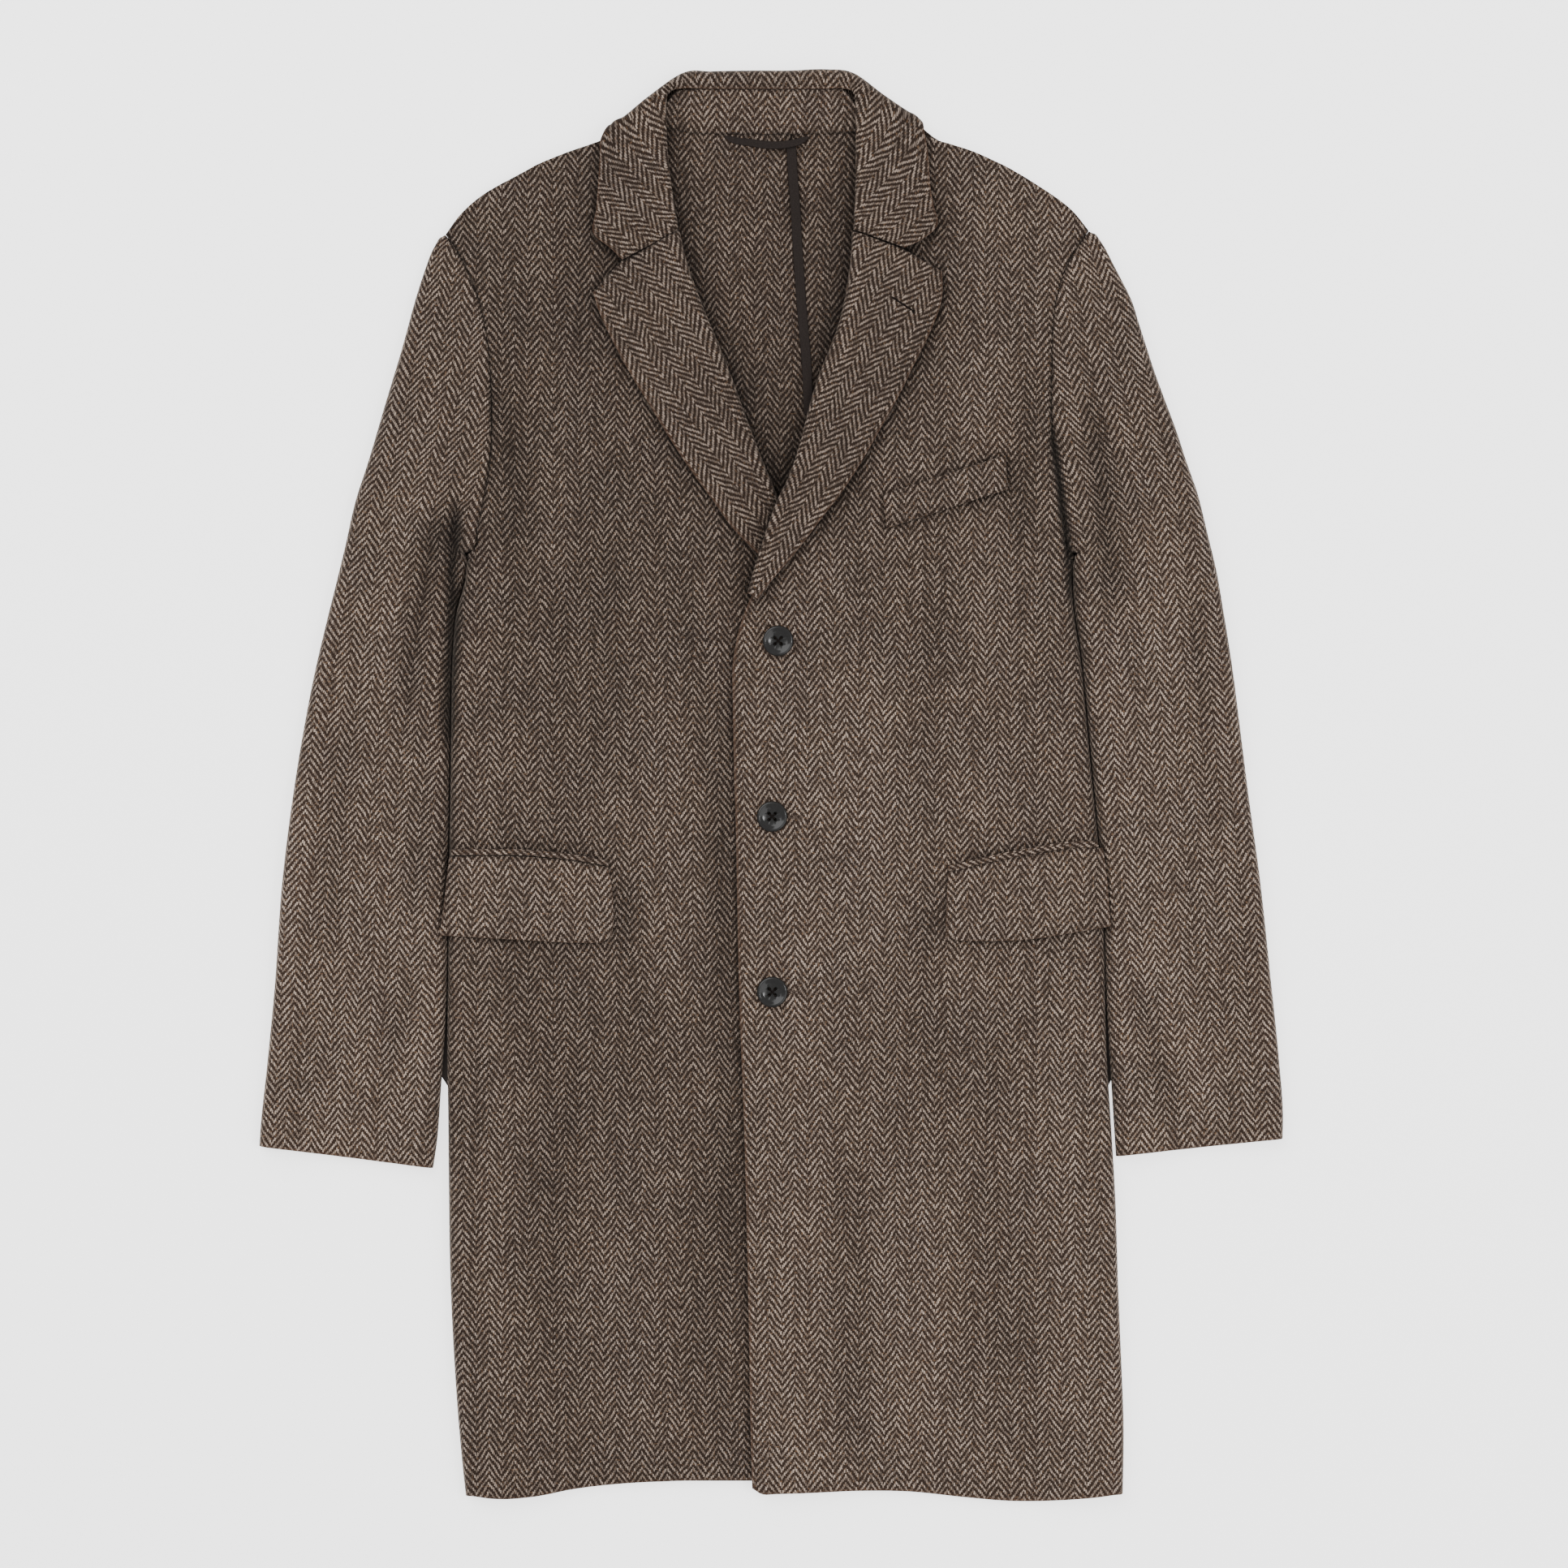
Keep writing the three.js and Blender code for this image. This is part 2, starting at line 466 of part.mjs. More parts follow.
/** Column places over a front's top, then those given for its outer end. */
function frontRuns(start, ending) {
  const inner = FRONT_INNER_RUNS.map((run) => start + run);
  const from = inner[inner.length - 1];
  const top = FRONT_TOP_SHARES.map((share) => mix(from, ending[0], share));
  return [...inner, ...top, ...ending];
}

const foldEnding = (bend, under) => [
  -FOLD_LEAD, 0, bend * 0.25, bend * 0.5, bend * 0.75, bend, bend + under * 0.5, bend + under,
];
const plainEnding = (from, end) => Array.from(
  { length: FRONT_END_PARTS + 1 },
  (_, k) => mix(from, end, k / FRONT_END_PARTS),
);

function frontRows(side, pile) {
  const inner = innerEdge(side);
  const rows = [];
  for (const y of BODY_ROWS) {
    const split = splitAt(side, y);
    const bend = bendRun(y);
    const under = underRun(side, y);
    const runs = frontRuns(valueAt(inner, y) - split, foldEnding(bend, under));
    rows.push(runs.map((run) => {
      const wave = hemWave(side, split + Math.min(run, 0), y);
      return bodyPoint(side, pile, run, y + wave);
    }));
  }
  for (const [outerY, rise, share] of ARMPIT_TURN) {
    const innerY = outerY + rise;
    const split = splitAt(side, outerY);
    const start = valueAt(inner, innerY) - split;
    const end = bendRun(outerY) * share;
    const lead = Math.min(-FOLD_LEAD, end - FRONT_END_LEAD);
    const runs = frontRuns(start, plainEnding(lead, end));
    rows.push(runs.map((run) => {
      const t = held((run - start) / (end - start), 0, 1);
      return bodyPoint(side, pile, run, mix(innerY, outerY, t));
    }));
  }
  for (const [out, outerY] of side.armhole) {
    const share = rowShare(side, out, outerY);
    let start = NECK_OUT;
    for (let k = 0; k < INNER_EDGE_STEPS; k += 1) start = valueAt(inner, rowY(side, share, start));
    const end = out - SEAM;
    const outs = frontRuns(start, plainEnding(end - FRONT_END_LEAD, end));
    rows.push(outs.map((o) => {
      const y = rowY(side, share, o);
      return bodyPoint(side, pile, o - splitAt(side, y), y);
    }));
  }
  return rows;
}

/** Height of the middle of the back: on the floor, and over the collar where that folds under it. */
function backHeight(x, y) {
  const byY = (y - COLLAR_LIFT_Y[0]) / (COLLAR_LIFT_Y[1] - COLLAR_LIFT_Y[0]);
  const byOut = (Math.abs(x) - COLLAR_LIFT_OUT[0]) / (COLLAR_LIFT_OUT[1] - COLLAR_LIFT_OUT[0]);
  return CLOTH / 2 + COLLAR_UNDER_LIFT * eased(byY) * eased(byOut);
}

function backRows(side) {
  const rows = [];
  const line = (yOf, end) => {
    const seam = side.sign * valueAt(CENTRE_SEAM, yOf(0)) + SEAM / 2;
    const last = BACK_OUTS[BACK_OUTS.length - 1];
    rows.push([seam, ...BACK_OUTS, (last + end) / 2, end].map((out) => {
      const y = yOf(out);
      const x = side.sign * out;
      return [x, y, backHeight(x, y)];
    }));
  };
  for (const y of BODY_ROWS) {
    const wave = y < HEM_Y + BACK_HEM_BAND ? BACK_HEM_UP : 0;
    line(() => y + wave, splitAt(side, y) - underRun(side, y) - SEAM);
  }
  for (const [outerY, rise] of ARMPIT_TURN) {
    const low = splitAt(side, ARMPIT_Y) - SIDE_SEAM_LEAST;
    const end = mix(low, side.armhole[0][0], (outerY - ARMPIT_Y) / ARMPIT_RISE) - SEAM;
    line((out) => outerY + rise * (1 - held(out / end, 0, 1)), end);
  }
  for (const [out, outerY] of side.armhole) {
    const share = rowShare(side, out, outerY);
    line((o) => rowY(side, share, o), out - SEAM);
  }
  return rows;
}

/** Lapel rows, from the gorge down: round the roll, then over the front to the outer edge. */
function lapelRows(side, pile, frontPile) {
  const rows = [];
  for (const [out, y, edgeOut, edgeY, roll, bow] of side.rollLine) {
    const length = distance([out, y], [edgeOut, edgeY]);
    const toward = [(edgeOut - out) / length, (edgeY - y) / length];
    const place = (a, z) => {
      const share = held(a / length, 0, 1);
      const notch = side.notchShare;
      const up = bow * Math.min(share / notch, (1 - share) / (1 - notch));
      return [side.sign * (out + toward[0] * a - toward[1] * up), y + toward[1] * a + toward[0] * up, z];
    };
    const centre = LAPEL_CLOTH / 2 + roll;
    const from = place(centre, 0);
    const foot = frontHeight(side, frontPile, side.sign * from[0], from[1]);
    const row = [];
    for (let k = 0; k <= 4; k += 1) {
      const angle = Math.PI * k / 4;
      row.push(place(centre - roll * Math.sin(angle), foot + roll - roll * Math.cos(angle)));
    }
    for (let k = 1; k <= 7; k += 1) {
      const a = mix(centre, length, k / 7);
      const [x, py] = place(a, 0);
      const flat = pile.over(x, py) + REST + LAPEL_CLOTH / 2;
      const fall = 1 - eased((a - centre) / (LAPEL_FALL_ROLLS * roll));
      const height = softMax(flat, mix(foot + roll, foot + 2 * roll, fall));
      row.push(place(a, height - LAPEL_SINK * fall));
    }
    rows.push(row);
  }
  return rows;
}

// Sleeves.
const sleeveOuter = (side, y) => [valueAt(side.sleeveOut, y), y];
const sleeveInner = (side, y) => {
  const low = side.sleeveIn[side.sleeveIn.length - 1];
  if (y <= low[0]) return [valueAt(side.sleeveIn, y), y];
  const share = held((y - low[0]) / SLEEVE_AWAY_RUN, 0, 1);
  return [mix(low[1], valueAt(side.fold, y) + SLEEVE_AWAY, share), y];
};

/** Section lines of a sleeve, cuff to cap: plan ends, fold radii, heights. */
function sleeveLines(side, frontPile) {
  const cuffOut = side.sleeveOut[0][0];
  const cuffIn = side.sleeveIn[0][0];
  const lastRow = SLEEVE_ROWS.length - 1;
  const stretch = (SLEEVE_TOP_Y - cuffIn) / SLEEVE_ROWS[lastRow][1];
  const lines = SLEEVE_ROWS.map(([upOut, upIn, rollOut, rollIn, middle], k) => ({
    outer: sleeveOuter(side, cuffOut + upOut),
    inner: sleeveInner(side, cuffIn + upIn * stretch),
    wrapIn: k < lastRow ? SLEEVE_WRAP : SLEEVE_LAST_WRAP,
    rollOut, rollIn, middle, turn: 1, tube: true,
  }));
  for (const [outerY, innerY, turn] of SLEEVE_TURN) {
    lines.push({
      outer: sleeveOuter(side, outerY), inner: sleeveInner(side, innerY),
      ...SLEEVE_TURN_SIZES, turn, tube: true,
    });
  }
  const capRise = side.armhole[side.armhole.length - 1][1] - CAP_TOP_Y;
  side.armhole.forEach(([out, y], k) => {
    const [outerY, rollOut, middle] = CAP_ROWS[k];
    const end = bodyPoint(side, frontPile, out - splitAt(side, y), y);
    lines.push({
      outer: sleeveOuter(side, outerY + capRise), inner: [side.sign * end[0], y],
      endHeight: end[2], rollOut, rollIn: 0, middle, turn: 0, tube: false,
    });
  });
  return lines.map((line) => {
    const length = distance(line.outer, line.inner);
    const toward = [(line.inner[0] - line.outer[0]) / length, (line.inner[1] - line.outer[1]) / length];
    const run = length - CLOTH / 2 - (line.tube ? CLOTH / 2 : SEAM);
    const wrap = Math.min(SLEEVE_WRAP, SLEEVE_WRAP_SHARE * run);
    const place = (a, z) => [
      side.sign * (line.outer[0] + toward[0] * (a + CLOTH / 2)),
      line.outer[1] + toward[1] * (a + CLOTH / 2),
      z,
    ];
    return { ...line, run, wrap, place };
  });
}

function sleeveTopHeight(line, a) {
  const outTop = CLOTH / 2 + 2 * line.rollOut;
  const inTop = line.tube ? CLOTH / 2 + 2 * line.rollIn : line.endHeight;
  const flat = line.run - line.rollOut - line.rollIn;
  const loft = Math.min(SLEEVE_LOFT_RUN, flat / 2);
  const byOut = 1 - eased((a - line.rollOut) / loft);
  const byIn = 1 - eased((line.run - line.rollIn - a) / loft);
  return line.middle + (outTop - line.middle) * byOut + (inTop - line.middle) * byIn;
}

function topSleeveRows(lines) {
  return lines.map((line) => {
    const { run, wrap, wrapIn, rollOut, rollIn, place, turn } = line;
    const row = [place(wrap, CLOTH / 2), place(mix(wrap, rollOut, 0.5), CLOTH / 2)];
    for (let k = 0; k <= 4; k += 1) {
      const angle = Math.PI * k / 4;
      row.push(place(rollOut - rollOut * Math.sin(angle), CLOTH / 2 + rollOut - rollOut * Math.cos(angle)));
    }
    const capEnd = Math.min(CAP_END_RUN, CAP_END_SHARE * (run - rollOut));
    const last = run - (line.tube ? rollIn : capEnd);
    for (const share of SLEEVE_TOP_SHARES) {
      const a = mix(rollOut, last, share);
      row.push(place(a, sleeveTopHeight(line, a)));
    }
    row.push(place(last, sleeveTopHeight(line, last)));
    if (line.tube) {
      for (let k = 1; k <= 4; k += 1) {
        const angle = Math.PI * turn * k / 4;
        const height = CLOTH / 2 + rollIn + rollIn * Math.cos(angle);
        row.push(place(run - rollIn + rollIn * Math.sin(angle), height));
      }
      if (turn === 1) {
        row.push(place(run - mix(rollIn, wrapIn, 0.5), CLOTH / 2), place(run - wrapIn, CLOTH / 2));
      } else {
        const [x, y, z] = row.pop();
        const before = row[row.length - 1];
        for (const t of [0.33, 0.67, 1]) {
          row.push([mix(before[0], x, t), mix(before[1], y, t), mix(before[2], z, t)]);
        }
      }
    } else {
      for (let k = 1; k <= 6; k += 1) {
        const a = mix(last, run, k / 6);
        row.push(place(a, sleeveTopHeight(line, a)));
      }
    }
    return row;
  });
}

function underSleeveRows(lines) {
  return lines.map((line) => {
    const start = line.wrap + SEAM;
    const wrapped = line.turn === 1 ? line.wrapIn : line.rollIn;
    const end = line.tube ? line.run - wrapped - SEAM : line.run;
    return [0, 0.25, 0.5, 0.75, 1].map((share) => line.place(mix(start, end, share), CLOTH / 2));
  });
}

/** Collar rows: from the stand or round the roll, over the top, then down to the edge or under. */
function collarRows(pile) {
  return COLLAR_ROWS.map(({ at, fold, edge, wrap, back }) => {
    const target = fold || edge;
    const length = distance(at, target);
    const toward = [(target[0] - at[0]) / length, (target[1] - at[1]) / length];
    const place = (a, z) => [at[0] + toward[0] * a, at[1] + toward[1] * a, z];
    const half = COLLAR_CLOTH / 2;
    const row = [];
    const foldRoll = (COLLAR_TOP_HEIGHT - half) / 2;
    const reach = length - half;
    let from = 0;
    if (back) {
      for (let k = 0; k <= 4; k += 1) {
        const rise = eased(BACK_RISE_START + BACK_RISE_STEP * k);
        const a = (reach - foldRoll) * BACK_RISE_END * k / 4;
        row.push(place(a, mix(STAND_TOP_HEIGHT, COLLAR_TOP_HEIGHT, rise)));
      }
      from = (reach - foldRoll) * BACK_RISE_END;
    } else {
      const [x, y] = place(COLLAR_LEAF_AT, 0);
      const low = pile.over(x, y) * COLLAR_LEAF_SHARE + COLLAR_LEAF_GAP + REST + half;
      const roll = Math.max(COLLAR_LEAST_ROLL, (COLLAR_TOP_HEIGHT - low) / 2);
      from = half + roll;
      for (let k = 0; k <= 4; k += 1) {
        const angle = Math.PI * k / 4;
        const height = COLLAR_TOP_HEIGHT - roll - roll * Math.cos(angle);
        row.push(place(from - roll * Math.sin(angle), height));
      }
    }
    const last = fold ? reach - foldRoll : length - COLLAR_EDGE_RUN;
    for (let k = 1; k <= 4; k += 1) {
      const a = mix(from, last, k / 4);
      const [x, y] = place(a, 0);
      const flat = back ? 0 : pile.over(x, y) + REST + half;
      row.push(place(a, softMax(flat, COLLAR_TOP_HEIGHT) - COLLAR_SINK));
    }
    if (!fold) {
      for (let k = 1; k <= 7; k += 1) {
        const a = mix(last, length, k / 7);
        const [x, y] = place(a, 0);
        row.push(place(a, softMax(pile.over(x, y) + REST + half, COLLAR_TOP_HEIGHT) - COLLAR_SINK));
      }
      return row;
    }
    const top = row[row.length - 1][2];
    const roll = (top - half) / 2;
    const turn = wrap ? Math.PI : Math.PI / 2;
    for (let k = 1; k <= 4; k += 1) {
      const angle = turn * k / 4;
      row.push(place(last + roll * Math.sin(angle), half + roll + roll * Math.cos(angle)));
    }
    if (wrap) {
      const start = row[row.length - 1];
      for (let k = 1; k <= 3; k += 1) {
        row.push([mix(start[0], edge[0], k / 3), mix(start[1], edge[1], k / 3), half]);
      }
    } else {
      const end = row.pop();
      const before = row[row.length - 1];
      for (let k = 1; k <= 4; k += 1) row.push(end.map((v, n) => mix(before[n], v, k / 4)));
    }
    return row;
  });
}

/** Stand rows, along the back neckline: up from the neck seam to the collar's seam. */
function standRows() {
  const rows = [];
  for (let k = 0; k <= 16; k += 1) {
    const x = mix(STAND_ENDS[0], STAND_ENDS[1], k / 16);
    const footY = valueAt(BACK_NECK, Math.abs(x)) + STAND_FOOT_GAP;
    const topY = valueAt(STAND_EDGE, x);
    const footZ = backHeight(x, footY);
    rows.push([0, 0.3, 0.65, 1].map((t) => {
      const height = mix(footZ, STAND_TOP_HEIGHT, t ** STAND_CURVE);
      return [x, mix(footY, topY, t), height];
    }));
  }
  return rows;
}

/** Wall of a small piece whose plan outline is laid on the pile. */
const laid = (pile, rows, thickness, rest) => wall(
  rows.map((row) => row.map(([x, y]) => [x, y, pile.over(x, y) + rest + thickness / 2])),
  thickness,
);

/** Plan rows of a tape along a smooth path. */
function ribbonRows(path, widths) {
  const curve = new THREE.CatmullRomCurve3(path.map(([x, y]) => new THREE.Vector3(x, y, 0)));
  const rows = [];
  const steps = path.length * 2;
  for (let k = 0; k <= steps; k += 1) {
    const centre = curve.getPointAt(k / steps);
    const tangent = curve.getTangentAt(k / steps);
    const width = valueAt(widths, k / steps);
    rows.push([-0.5, 0, 0.5].map((t) => [
      centre.x - tangent.y * width * t,
      centre.y + tangent.x * width * t,
    ]));
  }
  return rows;
}

/** Turned button with a raised rim and four holes. */
async function buttonShape() {
  const solids = await Module();
  solids.setup();
  const { Manifold } = solids;
  const body = Manifold.revolve([BUTTON_SECTION], BUTTON_SEGMENTS);
  const holes = [[-1, -1], [1, -1], [1, 1], [-1, 1]].map(([i, j]) => Manifold
    .cylinder(HOLE_CUT, BUTTON_HOLE_RADIUS, BUTTON_HOLE_RADIUS, HOLE_SEGMENTS, true)
    .translate([i * BUTTON_HOLE_AT, j * BUTTON_HOLE_AT, 0]));
  const cut = body.subtract(Manifold.union(holes)).getMesh();
  const geometry = new THREE.BufferGeometry();
  const points = [];
  for (let k = 0; k < cut.vertProperties.length; k += cut.numProp) {
    points.push(cut.vertProperties[k], cut.vertProperties[k + 1], cut.vertProperties[k + 2]);
  }
  geometry.setAttribute('position', new THREE.Float32BufferAttribute(points, 3));
  geometry.setIndex(Array.from(cut.triVerts));
  geometry.computeVertexNormals();
  return geometry;
}

// Assembly, from the floor up.
const backRight = node('back_right', wall(backRows(RIGHT), CLOTH), WOOL, 0.95);
const backLeft = node('back_left', wall(backRows(LEFT), CLOTH), WOOL, 0.95);
const backs = new Pile([backRight, backLeft]);
node('collar_stand', wall(standRows(), STAND_CLOTH), WOOL, 0.95);
const binding = node('seam_binding',
  laid(backs, ribbonRows(BINDING_PATH, BINDING_WIDTHS), TAPE_CLOTH, SEAM), TAPE, 0.9);
node('hanger_loop', laid(new Pile([backRight, backLeft, binding]),
  ribbonRows(LOOP_PATH, LOOP_WIDTHS), TAPE_CLOTH, SEAM), TAPE, 0.9);

const underRight = new Pile([backRight, backLeft, binding]);
const frontRight = node('front_right', wall(frontRows(RIGHT, underRight), CLOTH), WOOL, 0.95);
const onRight = new Pile([backRight, backLeft, binding, frontRight]);
const lapelRight = node('lapel_right', wall(lapelRows(RIGHT, onRight, underRight), LAPEL_CLOTH), WOOL, 0.95);

const underLeft = new Pile([backRight, backLeft, binding, frontRight, lapelRight]);
const frontLeft = node('front_left', wall(frontRows(LEFT, underLeft), CLOTH), WOOL, 0.95);
const onLeft = new Pile([backRight, backLeft, binding, frontRight, lapelRight, frontLeft]);
const lapelLeft = node('lapel_left', wall(lapelRows(LEFT, onLeft, underLeft), LAPEL_CLOTH), WOOL, 0.95);

const rightLines = sleeveLines(RIGHT, underRight);
const leftLines = sleeveLines(LEFT, underLeft);
const topRight = node('top_sleeve_right', wall(topSleeveRows(rightLines), CLOTH), WOOL, 0.95);
const topLeft = node('top_sleeve_left', wall(topSleeveRows(leftLines), CLOTH), WOOL, 0.95);
node('under_sleeve_right', wall(underSleeveRows(rightLines), CLOTH), WOOL, 0.95);
node('under_sleeve_left', wall(underSleeveRows(leftLines), CLOTH), WOOL, 0.95);

const underCollar = new Pile([backRight, backLeft, frontRight, frontLeft]);
node('collar_fall', wall(collarRows(underCollar), COLLAR_CLOTH), WOOL, 0.95);

const onFronts = new Pile([frontRight, frontLeft, topRight, topLeft]);
node('jet_right', laid(onFronts, JET_RIGHT, JET_CLOTH, REST), WOOL, 0.95);
node('jet_left', laid(onFronts, JET_LEFT, JET_CLOTH, REST), WOOL, 0.95);
node('flap_right', laid(onFronts, FLAP_RIGHT, FLAP_CLOTH, REST), WOOL, 0.95);
node('flap_left', laid(onFronts, FLAP_LEFT, FLAP_CLOTH, REST), WOOL, 0.95);
node('chest_welt', laid(onFronts, CHEST_WELT, WELT_CLOTH, REST), WOOL, 0.95);

const button = await buttonShape();
const onEdge = new Pile([frontLeft]);
BUTTONS.forEach(([x, y], k) => {
  const geometry = button.clone();
  const seats = [[0, 0], [1, 0], [-1, 0], [0, 1], [0, -1]];
  const heights = seats.map(([i, j]) => onEdge.over(x + i * BUTTON_SEAT, y + j * BUTTON_SEAT));
  geometry.translate(x, y, Math.max(...heights) + BUTTON_SHANK);
  node(`button_${k + 1}`, geometry, HORN, 0.35);
});

// Origin: middle of the underside.
const box = new THREE.Box3().setFromObject(coat);
const middle = box.getCenter(new THREE.Vector3());
for (const mesh of coat.children) mesh.geometry.translate(-middle.x, -middle.y, -box.min.z);

export default coat;
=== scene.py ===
"""Dressed scene of a long herringbone overcoat that lies buttoned on its back.

Every cloth piece is a thin wall on a grid of middle points. The grids are worked out from the same
named sizes and tables as the solids, then drawn finer, creased and given cloth coordinates in mm.
"""

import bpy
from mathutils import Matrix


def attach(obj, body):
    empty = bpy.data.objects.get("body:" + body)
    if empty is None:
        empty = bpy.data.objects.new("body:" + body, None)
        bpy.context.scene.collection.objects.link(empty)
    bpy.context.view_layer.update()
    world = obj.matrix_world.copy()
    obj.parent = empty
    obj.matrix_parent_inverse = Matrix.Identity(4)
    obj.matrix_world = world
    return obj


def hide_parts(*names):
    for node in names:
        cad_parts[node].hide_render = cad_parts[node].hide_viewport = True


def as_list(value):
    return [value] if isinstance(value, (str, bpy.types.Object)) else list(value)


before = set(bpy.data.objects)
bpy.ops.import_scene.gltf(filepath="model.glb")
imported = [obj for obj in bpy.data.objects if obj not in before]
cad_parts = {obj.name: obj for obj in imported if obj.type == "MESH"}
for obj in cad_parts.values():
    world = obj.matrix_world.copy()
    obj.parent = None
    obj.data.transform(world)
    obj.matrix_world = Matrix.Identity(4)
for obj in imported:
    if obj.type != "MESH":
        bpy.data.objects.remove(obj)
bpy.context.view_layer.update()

import math

import bpy
import numpy as np
from mathutils import Vector

# Sizes, millimetres.
CLOTH, LAPEL_CLOTH, COLLAR_CLOTH, STAND_CLOTH = 2.5, 3.4, 3.2, 2.8
FLAP_SEEN, WELT_CLOTH, JET_CLOTH, TAPE_CLOTH = 2.2, 2.0, 1.6, 0.9
REST, REST_SEEN, SEAM, ROLL_GAP = 0.8, 0.4, 0.3, 2.2
CELL, DRAPE_RADIUS, DRAPE_REACH = 4.0, 85.0, 32.0
HEM_Y, HEM_FADE, ARMPIT_Y = -500.0, 120.0, 159.0
SIDE_SEAM_IN, SIDE_SEAM_TURN, SIDE_LOFT_RUN, SHOULDER_LOFT_RUN = 45.0, 60.0, 85.0, 95.0
COLLAR_UNDER_LIFT, FRONT_LOFT = 4.0, 4
# cloth coordinates are kept in units of this many mm
CLOTH_UNIT = 100.0
# collar cloth: turn at the lapels, way round the neck that stays straight and over which it turns
COLLAR_TURN, COLLAR_STRAIGHT, COLLAR_TURN_RUN = math.radians(45), 25, 110
NECK_ROLL_Y = 491.7
MIDDLE = (0.185, -0.327)
# weave: yarn width, rise of one twill line, yarns in half a column
YARN, TWILL_RISE, COLUMN_YARNS = 1.0, 5.3, 9
# shade: how strongly ridges and hollows change the cloth's tone, width of a dipped border
RELIEF_TONE, HOLLOW_TONE, DIP_WIDTH = 0.95, 1.15, 2.4
# least and most tone of a place, share of the hollows' shade that inner pieces keep
TONE_RANGE, INNER_SHELTER = (0.16, 1.4), 0.6
# a border's dip in mm, depth of the painted shade along it and share of brown fuzz: cut edge, seam, gorge
# seam, pressed-down pocket edge
CUT_EDGE, SEAM_EDGE, GORGE_EDGE, PRESSED_EDGE = (0.25, 0, 1), (0.9, 0.5, 0), (0.5, 0.3, 0), (1.1, 0.05, 0.5)
# lightness of each piece against the whole, and its change per mm up the coat
LIGHTNESS = {"front_right": 0.83, "front_left": 1.0, "top_sleeve_right": 1.13, "top_sleeve_left": 1.11,
             "under_sleeve_right": 1.2, "under_sleeve_left": 1.2, "lapel_right": 0.96, "lapel_left": 0.99,
             "collar_fall": 0.94, "back_right": 0.92, "back_left": 0.92, "collar_stand": 1.2,
             "flap_right": 1.03, "flap_left": 1.04}
LIGHTNESS_UP = [(-500, 1.12), (-220, 1.04), (0, 1.06), (200, 0.84), (300, 0.83), (480, 0.93)]
# soft shade on inner pieces beside the roll lines: depth, half width, points
ROLL_SHADE = [(0.34, 13, [(-73, 500), (-73, 470), (-67, 400), (-60, 370), (-36, 308), (-7, 231), (15, 180)]),
              (0.34, 13, [(59, 500), (60, 470), (57, 392), (54, 357), (33, 288), (12, 216), (-6, 165)])]
INNER = ("back_right", "back_left", "collar_stand", "seam_binding")

SIDE_ROLL = [(-510, 4.3), (-300, 5), (0, 5.4), (159, 5.8), (480, 5.8)]
BACK_NECK = [(0, 461.5), (50, 462), (70, 465), (89, 474)]
BACK_OUTS = [50, 70, 89, 120]
CENTRE_SEAM = [(-510, 12), (-250, 18), (0, 24), (200, 28), (265, 27), (316, 23.5), (367, 19.5),
               (412, 17), (480, 13)]
BODY_ROWS = [-500, -488, -455, -405, -350, -295, -240, -185, -130, -80, -35, 10, 55, 90, 120, 145, 159]
ARMPIT_TURN = [(160.5, 2.5, 0.66), (162.5, 4, 0.33)]
FRONT_INNER_RUNS = [0, 7, 15, 25, 38, 54, 72]
FRONT_TOP_SHARES = [0.22, 0.43, 0.62, 0.8]
